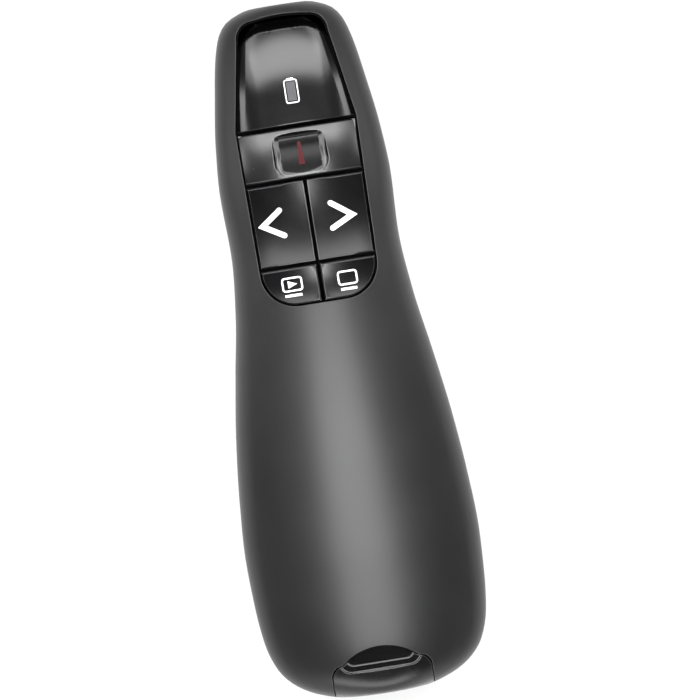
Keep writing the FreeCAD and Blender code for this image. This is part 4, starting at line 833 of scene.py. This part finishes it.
@dataclass(frozen=True)
class Inlay:
    """The crowned top of the window or of the keys: a long cylinder under the case's crown, bowed along Y.

    Args:
        form: the case's form.
        front: nose end of the crown, in millimetres.
        tail: its tail end.
        drop: how far it lies under the case's crown.
        seat: height above which the piece is remade.
        rim: depth under the top down to which its bevels follow the softer surface.
        steepness: how steep the bevels stay along the sides and at the nose end, as shares of the CAD node's.
        brow: where the one passes into the other, in millimetres along Y.
        bow_middle: highest place of the rounding along Y.
        bow_radius: its radius, or 0 where the piece is straight.
        bow_both: whether the rounding goes on towards the tail.
        reach: how near a point lies to the CAD node's top to belong to it.
    """

    form: CaseForm
    front: float
    tail: float
    drop: float = 0.25
    seat: float = 20.0
    rim: float = 0.4
    steepness: Point = (1.0, 1.0)
    brow: Point = (56.6, 58.4)
    bow_middle: float = 0.0
    bow_radius: float = 0.0
    bow_both: bool = True
    reach: float = 0.05

    def bend(self, y: float) -> float:
        """Work out how far the rounding along Y lowers the piece.

        Args:
            y: where along the case.

        Returns:
            The change in height, zero or less.
        """
        away = y - self.bow_middle
        if not self.bow_radius or (away < 0 and not self.bow_both):
            return 0.0
        return -(away ** 2) / (2 * self.bow_radius)

    def bowed(self, x: float, y: float) -> float:
        """Work out the height of the top with its rounding along Y."""
        return self.height(x, y) + self.bend(y)

    def steep(self, y: float) -> float:
        """Work out how steep the bevels stay, as a share of the CAD node's."""
        share = smooth_step((y - self.brow[0]) / (self.brow[1] - self.brow[0]))
        return self.steepness[0] + (self.steepness[1] - self.steepness[0]) * share

    def height(self, x: float, y: float) -> float:
        """Work out the height of the cylinder over a point of the plan.

        Args:
            x: how far across.
            y: how far along.

        Returns:
            The height in millimetres.
        """
        ends = (self.front, self.tail)
        radius = sum(self.form.radii(*self.form.section(end), self.form.crown_meeting)[1] for end in ends) / 2
        low, high = (self.form.crown(end) - self.drop - radius for end in ends)
        slope = (high - low) / (self.tail - self.front)
        return low + slope * (y - self.front) + math.sqrt(radius * radius - x * x) * math.hypot(1, slope)

    def fit(self, node: str, name: str, body: str, finish: Finishes, slot: str, found: Height,
            wanted: Height, longest: float = 0.7, bed: Bed | None = None) -> bpy.types.Object:
        """Remake a CAD moulding with a softer top surface.

        Args:
            node: the CAD node it stands for.
            name: the piece's name.
            body: the CAD body that carries it.
            finish: what it is made of.
            slot: the record's material slot.
            found: height of the CAD node's top surface over a point of the plan.
            wanted: height of the softer top surface.
            longest: longest edge that is left above the seat, in millimetres.
            bed: test for a point of the CAD node's thumb bed, and height of the softer bed.

        Returns:
            The new piece.
        """

        def above(spot: Vector) -> bool:
            """Tell whether a point in metres lies above the seat."""
            return spot.z > self.seat * MM

        mesh = refined(node, longest, above)
        for vertex in mesh.verts:
            if not above(vertex.co):
                continue
            x, y, z = vertex.co / MM
            if bed is not None and bed[0](x, y, z):
                vertex.co.z = bed[1](x, y) * MM
                continue
            under = z - found(x, y)
            if abs(under) < self.reach:
                under = 0.0
            if under > -self.rim:
                vertex.co.z = (wanted(x, y) + under * self.steep(y)) * MM
            else:
                vertex.co.z = (z + self.bend(y)) * MM
        piece = finish_piece(name, mesh, body, finish, slot)
        shade_curves(piece, INLAY_CREASE)
        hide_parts(node)
        return piece


def monotone_slopes(values: Sequence[float], spans: Sequence[float]) -> list[float]:
    """Work out the slopes of a curve through the values that never overshoots them.

    Args:
        values: the values at the knots.
        spans: the distances between the knots.

    Returns:
        One slope for each knot.
    """
    rates = [(b - a) / span for a, b, span in zip(values, values[1:], spans)]
    slopes = [rates[0]]
    for k in range(1, len(rates)):
        before, after = rates[k - 1], rates[k]
        if before * after <= 0:
            slopes.append(0.0)
            continue
        near, far = 2 * spans[k] + spans[k - 1], spans[k] + 2 * spans[k - 1]
        slopes.append((near + far) / (near / before + far / after))
    return slopes + [rates[-1]]


def hermite(start: float, end: float, leave: float, arrive: float, share: float) -> float:
    """Work out a value on the cubic between two knots.

    Args:
        start: value at the first knot.
        end: value at the second.
        leave: slope at the first, times the span.
        arrive: slope at the second, times the span.
        share: how far along, from 0 to 1.

    Returns:
        The value.
    """
    square, cube = share * share, share ** 3
    return ((2 * cube - 3 * square + 1) * start + (cube - 2 * square + share) * leave
            + (3 * square - 2 * cube) * end + (cube - square) * arrive)


def even(start: float, end: float, steps: int) -> list[float]:
    """Space values evenly from start to end, both kept."""
    return [start + (end - start) * k / steps for k in range(steps + 1)]


def smooth_step(share: float) -> float:
    """Ease from 0 to 1 without a kink at either end."""
    held = min(1.0, max(0.0, share))
    return held * held * (3 - 2 * held)


def line_faces(piece: bpy.types.Object, finish: Finishes, wanted: Callable[[Vector], bool]) -> None:
    """Give some faces of a piece a second finish.

    Args:
        piece: the piece.
        finish: their finish.
        wanted: whether the middle of a face, in millimetres, belongs to them.
    """
    piece.data.materials.append(finish.build())
    slot = len(piece.data.materials) - 1
    for face in piece.data.polygons:
        if wanted(face.center / MM):
            face.material_index = slot


def refined(node: str, longest: float, wanted: Callable[[Vector], bool]) -> bmesh.types.BMesh:
    """Copy a CAD node's mesh, weld its facets and halve long edges.

    Args:
        node: the CAD node.
        longest: longest edge that is left, in millimetres.
        wanted: whether a point in metres belongs to the part that is cut finer.

    Returns:
        The finer mesh, all triangles.
    """
    mesh = bmesh.new()
    mesh.from_mesh(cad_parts[node].data)
    bmesh.ops.remove_doubles(mesh, verts=mesh.verts, dist=WELD)
    rounds = 8
    for _ in range(rounds):
        edges = []
        for edge in mesh.edges:
            a, b = (vertex.co for vertex in edge.verts)
            if (a - b).length > longest * MM and wanted(a) and wanted(b) and wanted((a + b) / 2):
                edges.append(edge)
        if not edges:
            break
        bmesh.ops.subdivide_edges(mesh, edges=edges, cuts=1)
        bmesh.ops.triangulate(mesh, faces=[face for face in mesh.faces if len(face.verts) > 3])
    return mesh


# Sub-assemblies


@dataclass
class CaseShells:
    """The two case halves, the battery door and the inner frame.

    Args:
        form: the outer form that they share.
        pocket_half: half width of the pocket that the keys and the window sit in, in millimetres.
        pocket_tail: its tail end.
        pocket_level: height under which its walls and deck are bare and coloured near black as painted shade.
    """

    form: CaseForm = CaseForm()
    pocket_half: float = 11.4
    pocket_tail: float = 8.0
    pocket_level: float = 21.3

    def in_pocket(self, spot: Vector) -> bool:
        """Tell whether a point in millimetres lies in the pocket of the keys and the window."""
        return (abs(spot.x) < self.pocket_half and spot.y > self.pocket_tail
                and self.form.parting < spot.z < self.pocket_level)

    def build(self) -> None:
        """Remake the painted mouldings with their smooth form and dress the frame."""
        paint, slot = Finishes.SOFT_TOUCH, "soft_plastic"
        upper = self.form.fit("upper_shell", "upper_case_moulding", "case", paint, slot)
        # The pocket's bare walls and deck are coloured near black: painted shade for the gaps between the keys
        self.form.line_inside(upper, Finishes.BARE_ABS_PAINTED_SHADE, self.in_pocket)
        self.form.fit("lower_shell", "lower_case_moulding", "case", paint, slot)
        self.form.fit("battery_door", "battery_door_moulding", "battery_door_body", paint, slot)
        dress(Finishes.NYLON, "mid_frame")


@dataclass
class StatusWindow:
    """The gloss window at the nose with its printed cell sign.

    Args:
        form: the case's form.
        front: nose end of the window's straight crown, in millimetres.
        tail: its tail end.
        bow_middle: highest place of its rounding along Y.
        bow_radius: radius of that rounding.
        steepness: how steep its bevels stay along the sides and at the nose end, as shares of the CAD node's.
        seat: height above which it is remade.
        rim: depth of its bevels under the crown.
        brow_start: where the dome rolls down into the brow, in the middle.
        brow_breadth: breadth of that roll.
        brow_depth: how far it falls.
        brow_corner: how far out the roll starts to bend towards the tail, and how sharply.
        left: left edge of the sign.
        right: right edge of the sign.
        low: tail end of the sign.
        high: nose end of the sign, below its terminal.
        line: breadth of its outline.
        corner: radius of its corners.
        margin: from the middle of the outline to the fill.
        bump_share: half length of the cell's terminal as a share of the sign's width.
        bump_bold: its breadth as a share of the outline's.
        fill_film: thickness of the fill's ink.
    """

    form: CaseForm = CaseForm()
    front: float = 57.6
    tail: float = 40.9
    bow_middle: float = 46.5
    bow_radius: float = 48.0
    steepness: Point = (0.25, 1.0)
    seat: float = 18.5
    rim: float = 2.6
    brow_start: float = 57.9
    brow_breadth: float = 1.5
    brow_depth: float = 1.3
    brow_corner: Point = (3.5, 0.12)
    left: float = -0.98
    right: float = 1.28
    low: float = 44.65
    high: float = 48.75
    line: float = 0.2
    corner: float = 0.35
    margin: float = 0.34
    bump_share: float = 0.2
    bump_bold: float = 1.6
    fill_film: float = 0.02

    def build(self) -> None:
        """Remake the window and print its sign."""
        inlay = Inlay(self.form, self.front, self.tail, seat=self.seat, rim=self.rim,
                      steepness=self.steepness, bow_middle=self.bow_middle, bow_radius=self.bow_radius,
                      bow_both=False)

        def domed(x: float, y: float) -> float:
            """Work out the height of the dome, rolled down across the nose end."""
            outer, bend = self.brow_corner
            start = self.brow_start - bend * max(0.0, abs(x) - outer) ** 2
            return inlay.bowed(x, y) - self.brow_depth * smooth_step((y - start) / self.brow_breadth)

        inlay.fit("status_window", "window_lens", "case", Finishes.GLOSS_ABS, "gloss_plastic",
                  inlay.height, domed, longest=FINE_EDGE)
        self.print_cell(inlay.bowed)

    def print_cell(self, top: Height) -> None:
        """Print the sign of a cell: a grey fill inside a white outline with its terminal.

        Args:
            top: height of the window over a point of the plan.
        """
        rows = even(self.low + self.margin, self.high - self.margin, 8)
        fill = Patch(tuple((self.left + self.margin, y) for y in rows),
                     tuple((self.right - self.margin, y) for y in rows))
        print_sign("sign_cell_fill", [fill], top, "case", Finishes.GREY_INK, film=self.fill_film)
        box = rounded_box((self.left, self.right), (self.low, self.high), self.corner)
        outline = Stroke(box, self.line, closed=True)
        middle = (self.left + self.right) / 2
        reach = (self.right - self.left) * self.bump_share
        foot = self.high + self.line
        bump = Stroke(((middle - reach, foot), (middle + reach, foot)), self.line * self.bump_bold)
        print_sign("sign_cell_outline", [outline, bump], top, "case", Finishes.WHITE_INK)


@dataclass
class KeyField:
    """The five keys with their printed signs.

    Args:
        form: the case's form.
        front: nose end of the keys' crown, in millimetres.
        tail: its tail end.
        dish_x: how far the middle of an arrow key's dish lies from the middle of the case.
        dish_y: its place along Y.
        dish_radius: radius of the CAD dish.
        dish_depth: its depth.
        hollow_depth: depth of an arrow key's softer hollow.
        hollow_radii: its radii across and along the case.
        small_y: middle of a small key's hollow.
        small_depth: its depth.
        small_radii: its radii across and along the case.
        laser_y: middle of the laser key.
        laser_bow: radius of the laser key's rounding along Y.
        scoop_half: half length of its thumb bed.
        scoop_width: its half width.
        scoop_floor: half width of its floor, beside which its flanks rise.
        scoop_rise: how far they rise, as a share of its depth.
        scoop_depth: depth of the CAD bed.
        ramp_depth: depth of the softer bed, deepest near its nose end.
        ramp_length: length of its long slope.
        ramp_power: how slowly that slope starts.
        mark_ends: tail and nose ends of the red mark.
        mark_halves: half widths of the mark at those ends.
        mark_proud: how far it stands out of the bed.
        bold: breadth of the arrow signs.
        fine: breadth of the screen signs.
        screen_corner: radius of their corners.
        foot: how far the screens' foot lies below them, how far in it ends, and its breadth.
        play_reach: how far left of the screen's middle the play triangle starts, and half its height.
        play_length: its length.
        back_path: the back sign's points.
        next_path: the next sign's points.
        play_box: left, right, tail and nose edges of the slide-show sign.
        blank_box: the same of the blank-screen sign.
    """

    form: CaseForm = CaseForm()
    front: float = 40.2
    tail: float = 8.8
    dish_x: float = 5.65
    dish_y: float = 23.35
    dish_radius: float = 34.0
    dish_depth: float = 0.85
    hollow_depth: float = 0.9
    hollow_radii: Point = (30.0, 60.0)
    small_y: float = 12.1
    small_depth: float = 0.45
    small_radii: Point = (34.0, 26.0)
    laser_y: float = 35.75
    laser_bow: float = 22.0
    scoop_half: float = 4.0
    scoop_width: float = 5.1
    scoop_floor: float = 3.6
    scoop_rise: float = 0.8
    scoop_depth: float = 1.7
    ramp_depth: float = 1.5
    ramp_length: float = 6.5
    ramp_power: float = 1.1
    mark_ends: Point = (33.5, 37.6)
    mark_halves: Point = (0.55, 0.27)
    mark_proud: float = 0.06
    bold: float = 0.95
    fine: float = 0.3
    screen_corner: float = 0.45
    foot: tuple[float, float, float] = (0.85, 0.2, 0.45)
    play_reach: Point = (0.75, 0.65)
    play_length: float = 1.6
    back_path: tuple[Point, ...] = ((-5.36, 25.96), (-8.73, 23.5), (-5.09, 21.36))
    next_path: tuple[Point, ...] = ((3.91, 25.85), (7.48, 23.25), (3.65, 21.34))
    play_box: tuple[Point, Point] = ((-6.85, -3.4), (11.35, 13.65))
    blank_box: tuple[Point, Point] = ((3.2, 6.5), (11.05, 13.35))

    def build(self) -> None:
        """Remake the keys and print their signs."""
        inlay = Inlay(self.form, self.front, self.tail)
        self.build_laser_key(inlay)
        large = self.hollowed(inlay, self.dish_y, self.hollow_depth, self.hollow_radii)
        small = self.hollowed(inlay, self.small_y, self.small_depth, self.small_radii)
        for key, path in (("back", self.back_path), ("next", self.next_path)):
            inlay.fit(f"{key}_button", f"{key}_key_cap", f"{key}_key", Finishes.KEY_ABS, "key_plastic",
                      self.dished(inlay), large)
            print_sign(f"sign_{key}", [Stroke(path, self.bold)], large, f"{key}_key", Finishes.WHITE_INK)
        for key, box in (("slideshow", self.play_box), ("blank", self.blank_box)):
            inlay.fit(f"{key}_button", f"{key}_key_cap", f"{key}_key", Finishes.KEY_ABS, "key_plastic",
                      inlay.height, small)
            self.print_screen(small, key, box, play=key == "slideshow")

    def build_laser_key(self, inlay: Inlay) -> None:
        """Remake the laser key with its rounding and its sloping thumb bed, and lay in the red mark.

        Args:
            inlay: the crown of the keys.
        """
        rounded = Inlay(self.form, self.front, self.tail, bow_middle=self.laser_y, bow_radius=self.laser_bow)
        level = self.form.crown(self.laser_y) - inlay.drop
        radius = (self.scoop_half ** 2 + self.scoop_depth ** 2) / (2 * self.scoop_depth)

        def bed(x: float, y: float) -> float:
            """Work out the height of the bed, with its rising flanks."""
            share = max(0.0, abs(x) - self.scoop_floor) / (self.scoop_width - self.scoop_floor)
            return level - self.bed_depth(y) * (1 - self.scoop_rise * min(1.0, share))

        def in_bed(x: float, y: float, z: float) -> bool:
            """Tell whether a point of the CAD key lies on its thumb bed."""
            away = y - self.laser_y
            if abs(away) > self.scoop_half + HAIR or z > inlay.height(x, y) - HAIR:
                return False
            found = level - self.scoop_depth + radius - math.sqrt(radius ** 2 - away ** 2)
            return abs(z - found) < 3 * HAIR

        def on_floor(spot: Vector) -> bool:
            """Tell whether a point in millimetres lies on the bed's floor."""
            in_plan = abs(spot.x) < self.scoop_floor and abs(spot.y - self.laser_y) < self.scoop_half
            return in_plan and spot.z < rounded.bowed(spot.x, spot.y) - rounded.reach

        piece = rounded.fit("laser_button", "laser_key_cap", "laser_key", Finishes.SATIN_ABS, "satin_key",
                            inlay.height, rounded.bowed, longest=FINE_EDGE, bed=(in_bed, bed))
        line_faces(piece, Finishes.DARK_BED_ABS, on_floor)
        mesh = bmesh.new()
        rows = even(*self.mark_ends, 12)
        halves = even(*self.mark_halves, 12)
        Patch(tuple((-half, y) for half, y in zip(halves, rows)),
              tuple((half, y) for half, y in zip(halves, rows))).outline(mesh)
        for vertex in mesh.verts:
            x, y = vertex.co.x, vertex.co.y
            vertex.co = Vector((x, y, bed(x, y) + self.mark_proud)) * MM
        mark = finish_piece("laser_mark_inlay", mesh, "laser_key", Finishes.RED_ACRYLIC, "mark_red")
        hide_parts("laser_mark")

    def bed_depth(self, y: float) -> float:
        """Work out the depth of the sloping thumb bed.

        Args:
            y: where along the case.

        Returns:
            The depth in millimetres.
        """
        share = (y - self.laser_y + self.scoop_half) / self.ramp_length
        if share < 1:
            return self.ramp_depth * math.sin(math.pi / 2 * max(0.0, share)) ** self.ramp_power
        rest = (self.laser_y + self.scoop_half - y) / (2 * self.scoop_half - self.ramp_length)
        return self.ramp_depth * math.sin(math.pi / 2 * max(0.0, rest))

    def dished(self, inlay: Inlay) -> Height:
        """Describe an arrow key's CAD top, with its round dish.

        Args:
            inlay: the crown of the keys.

        Returns:
            The height over a point of the plan.
        """
        level = self.form.crown(self.dish_y, self.dish_x) - inlay.drop - self.dish_depth + self.dish_radius

        def top(x: float, y: float) -> float:
            """Take the lower of the crown and the dish."""
            away = (abs(x) - self.dish_x) ** 2 + (y - self.dish_y) ** 2
            return min(inlay.height(x, y), level - math.sqrt(self.dish_radius ** 2 - away))

        return top

    def hollowed(self, inlay: Inlay, middle: float, depth: float, radii: Point) -> Height:
        """Describe a key's top with a shallow hollow that runs out at its corners.

        Args:
            inlay: the crown of the keys.
            middle: middle of the hollow along Y.
            depth: its depth.
            radii: its radii across and along the case.

        Returns:
            The height over a point of the plan.
        """

        def top(x: float, y: float) -> float:
            """Take the hollow off the crown."""
            rise = (abs(x) - self.dish_x) ** 2 / (2 * radii[0]) + (y - middle) ** 2 / (2 * radii[1])
            return inlay.height(x, y) - max(0.0, depth - rise)

        return top

    def print_screen(self, top: Height, key: str, box: tuple[Point, Point], play: bool) -> None:
        """Print the screen sign of a small key, with its foot and, for the slide show, a play triangle.

        Args:
            top: height of the key over a point of the plan.
            key: the key's name.
            box: the screen's left and right edges, and its tail and nose edges.
            play: whether the triangle is printed.
        """
        x, y = box
        marks: list[Stroke | Patch] = [Stroke(rounded_box(x, y, self.screen_corner), self.fine, closed=True)]
        drop, inset, breadth = self.foot
        foot = y[0] - drop
        marks.append(Stroke(((x[0] + inset, foot), (x[1] - inset, foot)), breadth, rounded=False))
        if play:
            back, half = self.play_reach
            middle_x, middle_y = (x[0] + x[1]) / 2, (y[0] + y[1]) / 2
            shares = even(0.0, 1.0, 6)
            left = tuple((middle_x - back, middle_y - half + 2 * half * share) for share in shares)
            right = tuple((spot[0] + self.play_length * (1 - abs(2 * share - 1)) + HAIR, spot[1])
                          for share, spot in zip(shares, left))
            marks.append(Patch(left, right))
        print_sign(f"sign_{key}", marks, top, f"{key}_key", Finishes.WHITE_INK)


@dataclass
class LaserModule:
    """The laser in the nose: ring, barrel, lens and diode."""

    def build(self) -> None:
        """Dress the module's pieces."""
        dress(Finishes.GLOSS_ABS, "laser_bezel")
        dress(Finishes.TURNED_BRASS, "laser_barrel")
        dress(Finishes.CLEAR_ACRYLIC, "laser_lens")
        dress(Finishes.NICKEL_STEEL, "laser_diode")
        dress(Finishes.TIN, "laser_leads")


@dataclass
class PowerSlide:
    """The side switch."""

    def build(self) -> None:
        """Dress the knob, the switch body and its lever."""
        dress(Finishes.KEY_ABS, "power_knob")
        dress(Finishes.NICKEL_STEEL, "power_switch_body")
        dress(Finishes.CHIP_EPOXY, "power_switch_lever")


@dataclass
class Electronics:
    """The main board with what is soldered to it.

    Args:
        keys: the keys that have a switch.
    """

    keys: tuple[str, ...] = ("laser", "back", "next", "slideshow", "blank")

    def build(self) -> None:
        """Dress the board, its chips and its switches."""
        dress(Finishes.SOLDER_MASK, "main_board")
        dress(Finishes.CHIP_EPOXY, "controller_chip", "radio_chip")
        dress(Finishes.NICKEL_STEEL, "crystal")
        dress(Finishes.TIN, "capacitors")
        dress(Finishes.CLEAR_ACRYLIC, "light_guide")
        dress(Finishes.CHIP_EPOXY, *(f"switch_housing_{key}" for key in self.keys))
        dress(Finishes.WHITE_LCP, "status_led", *(f"switch_plunger_{key}" for key in self.keys))


@dataclass
class BatteryBay:
    """The cells and their contacts."""

    def build(self) -> None:
        """Dress the cells and the stamped contacts."""
        dress(Finishes.SLEEVE_PLUS_NOSE, "cell_left")
        dress(Finishes.SLEEVE_PLUS_TAIL, "cell_right")
        dress(Finishes.NICKEL_STEEL, "contact_leaves", "contact_bridge")


@dataclass
class Receiver:
    """The radio receiver docked in the tail.

    Args:
        form: the case's form, which the pull lip continues.
        longest: longest edge that is left on the lip, in millimetres.
    """

    form: CaseForm = CaseForm()
    longest: float = 0.8

    def above_parting(self, spot: Vector) -> bool:
        """Tell whether a point in millimetres lies above the parting line."""
        return spot.z > self.form.parting

    def build(self) -> None:
        """Remake the pull lip with its smooth form and dress the receiver's body and plug."""
        dress(Finishes.MIRROR_ABS, "receiver_housing")
        lip = self.form.fit("receiver_grip", "receiver_pull_lip", "receiver", Finishes.LIP_ABS,
                            "gloss_plastic", longest=self.longest)
        self.form.line_inside(lip, Finishes.MIRROR_ABS, self.above_parting)
        dress(Finishes.NICKEL_STEEL, "usb_shell")
        dress(Finishes.WHITE_LCP, "usb_tongue")
        dress(Finishes.HARD_GOLD, "usb_contacts")
        dress(Finishes.SOLDER_MASK, "receiver_board")
        dress(Finishes.CHIP_EPOXY, "receiver_chip")


@dataclass
class Fasteners:
    """The case screws and the board screws."""

    def build(self) -> None:
        """Dress the screws."""
        dress(Finishes.ZINC_STEEL, "case_screws", "board_screws")


# Studio


@dataclass(frozen=True)
class Lamp:
    """One softbox.

    Args:
        name: the lamp's name.
        place: where it hangs, in metres.
        aim: the point that it faces, in metres.
        size: its breadth and its other side, in metres.
        level: its brightness, where 1 is white paper in full light.
    """

    name: str
    place: tuple[float, float, float]
    aim: tuple[float, float, float]
    size: Point
    level: float

    def build(self) -> None:
        """Hang the lamp."""
        data = bpy.data.lights.new(self.name, "AREA")
        data.shape = "RECTANGLE"
        data.size, data.size_y = self.size
        data.energy = self.level * math.pi * self.size[0] * self.size[1]
        lamp = bpy.data.objects.new(self.name, data)
        bpy.context.scene.collection.objects.link(lamp)
        lamp.location = self.place
        lamp.rotation_euler = (Vector(self.aim) - Vector(self.place)).to_track_quat("-Z", "Y").to_euler()
        lamp.visible_camera = False


@dataclass
class Studio:
    """Floor, lamps, sky and the overhead camera of the product picture.

    Args:
        turn: how far the camera is turned on its axis, in degrees.
        centre: what the middle of the picture looks at on the plan, in millimetres.
        plane: height of the plane that the picture's width is measured on, in millimetres.
        width: width of the picture on that plane, in millimetres.
        distance: how far the camera stands from that plane, in metres.
        lamps: the softboxes.
        sky_level: brightness of the even light from the room.
        floor_rings: radii of the flat floor's rings, in metres.
        floor_curve: radius of its upturned edge.
        floor_sides: how many sides its rings have.
        floor_gap: how far it lies under the object, in millimetres.
        glow: how much of the paper looks evenly white to the camera, in mirrors and through glass.
        sensor: width of the camera's sensor, in millimetres.
    """

    turn: float = -9.0
    centre: Point = (3.26, -0.72)
    plane: float = 14.1
    width: float = 125.9
    distance: float = 2.0
    lamps: tuple[Lamp, ...] = (
        Lamp("body_softbox", (0.0, -0.007, 0.25), (0.0, -0.007, 0.0), (0.185, 0.078), 15.5),
        Lamp("body_tail_softbox", (0.0, -0.112, 0.25), (0.0, -0.112, 0.0), (0.185, 0.05), 15.5),
        Lamp("nose_softbox", (0.0, 0.44, 0.85), (0.0, 0.03, 0.02), (1.7, 0.27), 6.3),
        Lamp("nose_left_softbox", (-0.78, 0.65, 0.7), (0.0, 0.03, 0.02), (0.7, 0.36), 3.0),
        Lamp("nose_right_softbox", (0.78, 0.65, 0.7), (0.0, 0.03, 0.02), (0.7, 0.36), 3.0),
        Lamp("nose_low_softbox", (0.0, 0.85, 0.55), (0.0, 0.03, 0.02), (0.8, 0.4), 3.0),
        Lamp("left_window_lamp", (-0.12, 0.053, 0.056), (0.0, 0.05, 0.02), (0.035, 0.036), 4.5),
        Lamp("right_window_lamp", (0.12, 0.053, 0.056), (0.0, 0.05, 0.02), (0.035, 0.036), 4.5),
        Lamp("tail_low_lamp", (-0.15, -1.0, 0.3), (0.0, -0.06, 0.02), (1.2, 0.35), 4.0),
    )
    sky_level: float = 0.1
    floor_rings: tuple[float, ...] = (0.2, 1.0, 3.0)
    floor_curve: float = 1.0
    floor_sides: int = 48
    floor_gap: float = 0.05
    glow: float = 0.75
    sensor: float = 36.0

    def build(self) -> None:
        """Set up the whole studio."""
        self.floor()
        self.sky()
        for lamp in self.lamps:
            lamp.build()
        self.camera()
        bpy.context.scene.view_settings.view_transform = "Standard"

    def floor(self) -> None:
        """Lay a plain white paper floor that curves up far away and keeps a soft shadow."""
        edge, curve, count = self.floor_rings[-1], self.floor_curve, self.floor_sides
        profile = [(radius, 0.0) for radius in self.floor_rings]
        for tilt in (math.radians(angle) for angle in range(10, 61, 10)):
            profile.append((edge + curve * math.sin(tilt), curve * (1.0 - math.cos(tilt))))
        turns = [math.tau * k / count for k in range(count)]
        mesh = bmesh.new()
        centre = mesh.verts.new((0.0, 0.0, 0.0))
        rings = []
        for radius, height in profile:
            spots = [(radius * math.cos(turn), radius * math.sin(turn), height) for turn in turns]
            rings.append([mesh.verts.new(spot) for spot in spots])
        for k in range(count):
            mesh.faces.new([centre, rings[0][k], rings[0][(k + 1) % count]])
        for low, high in zip(rings, rings[1:]):
            for k in range(count):
                after = (k + 1) % count
                mesh.faces.new([low[k], high[k], high[after], low[after]])
        for face in mesh.faces:
            face.smooth = True
        data = bpy.data.meshes.new("floor")
        mesh.to_mesh(data)
        mesh.free()
        data.materials.append(self.paper())
        floor = bpy.data.objects.new("floor", data)
        floor.location.z = -self.floor_gap * MM
        bpy.context.scene.collection.objects.link(floor)

    def paper(self) -> bpy.types.Material:
        """Make white paper that also looks white to the camera, in mirrors and through glass.

        Returns:
            The material.
        """
        material = bpy.data.materials.new("white_paper_floor")
        material.use_nodes = True
        tree = material.node_tree
        tree.nodes.clear()
        sheet = add_node(tree, "ShaderNodeBsdfDiffuse", {"Color": linear("f4f4f4")})
        glow = add_node(tree, "ShaderNodeEmission", {"Color": linear("ffffff"), "Strength": 1.0})
        path = add_node(tree, "ShaderNodeLightPath")
        seen = path.outputs["Is Camera Ray"]
        for other in ("Is Glossy Ray", "Is Transmission Ray"):
            either = add_node(tree, "ShaderNodeMath", {"operation": "MAXIMUM"})
            tree.links.new(seen, either.inputs[0])
            tree.links.new(path.outputs[other], either.inputs[1])
            seen = either.outputs["Value"]
        share = add_node(tree, "ShaderNodeMath", {"operation": "MULTIPLY"})
        tree.links.new(seen, share.inputs[0])
        share.inputs[1].default_value = self.glow
        mix = add_node(tree, "ShaderNodeMixShader", {}, {"Fac": share.outputs["Value"]})
        tree.links.new(sheet.outputs["BSDF"], mix.inputs[1])
        tree.links.new(glow.outputs["Emission"], mix.inputs[2])
        add_node(tree, "ShaderNodeOutputMaterial", {}, {"Surface": mix.outputs["Shader"]})
        return material

    def sky(self) -> None:
        """Fill the room with a little even light."""
        world = bpy.data.worlds.new("studio_room")
        world.use_nodes = True
        tree = world.node_tree
        tree.nodes.clear()
        light = add_node(tree, "ShaderNodeBackground",
                         {"Color": linear("ffffff"), "Strength": self.sky_level})
        add_node(tree, "ShaderNodeOutputWorld", {}, {"Surface": light.outputs["Background"]})
        bpy.context.scene.world = world

    def camera(self) -> None:
        """Hang the camera straight above, turned as in the product picture."""
        data = bpy.data.cameras.new("overhead_camera")
        data.sensor_width = self.sensor
        data.lens = self.sensor * self.distance / (self.width * MM)
        data.clip_start, data.clip_end = 0.05, 10.0
        camera = bpy.data.objects.new("overhead_camera", data)
        bpy.context.scene.collection.objects.link(camera)
        camera.location = (self.centre[0] * MM, self.centre[1] * MM, self.plane * MM + self.distance)
        camera.rotation_euler = (0.0, 0.0, math.radians(self.turn))
        bpy.context.scene.camera = camera


def main() -> None:
    """Dress every sub-assembly and set up the studio."""
    logging.basicConfig(level=logging.INFO, format="%(message)s")
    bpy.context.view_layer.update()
    assemblies: Sequence[Any] = (
        CaseShells(), StatusWindow(), KeyField(), LaserModule(), PowerSlide(), Electronics(),
        BatteryBay(), Receiver(), Fasteners(),
    )
    for assembly in assemblies:
        assembly.build()
        LOG.info("dressed %s", type(assembly).__name__)
    Studio().build()


if __name__ == "__main__":
    main()
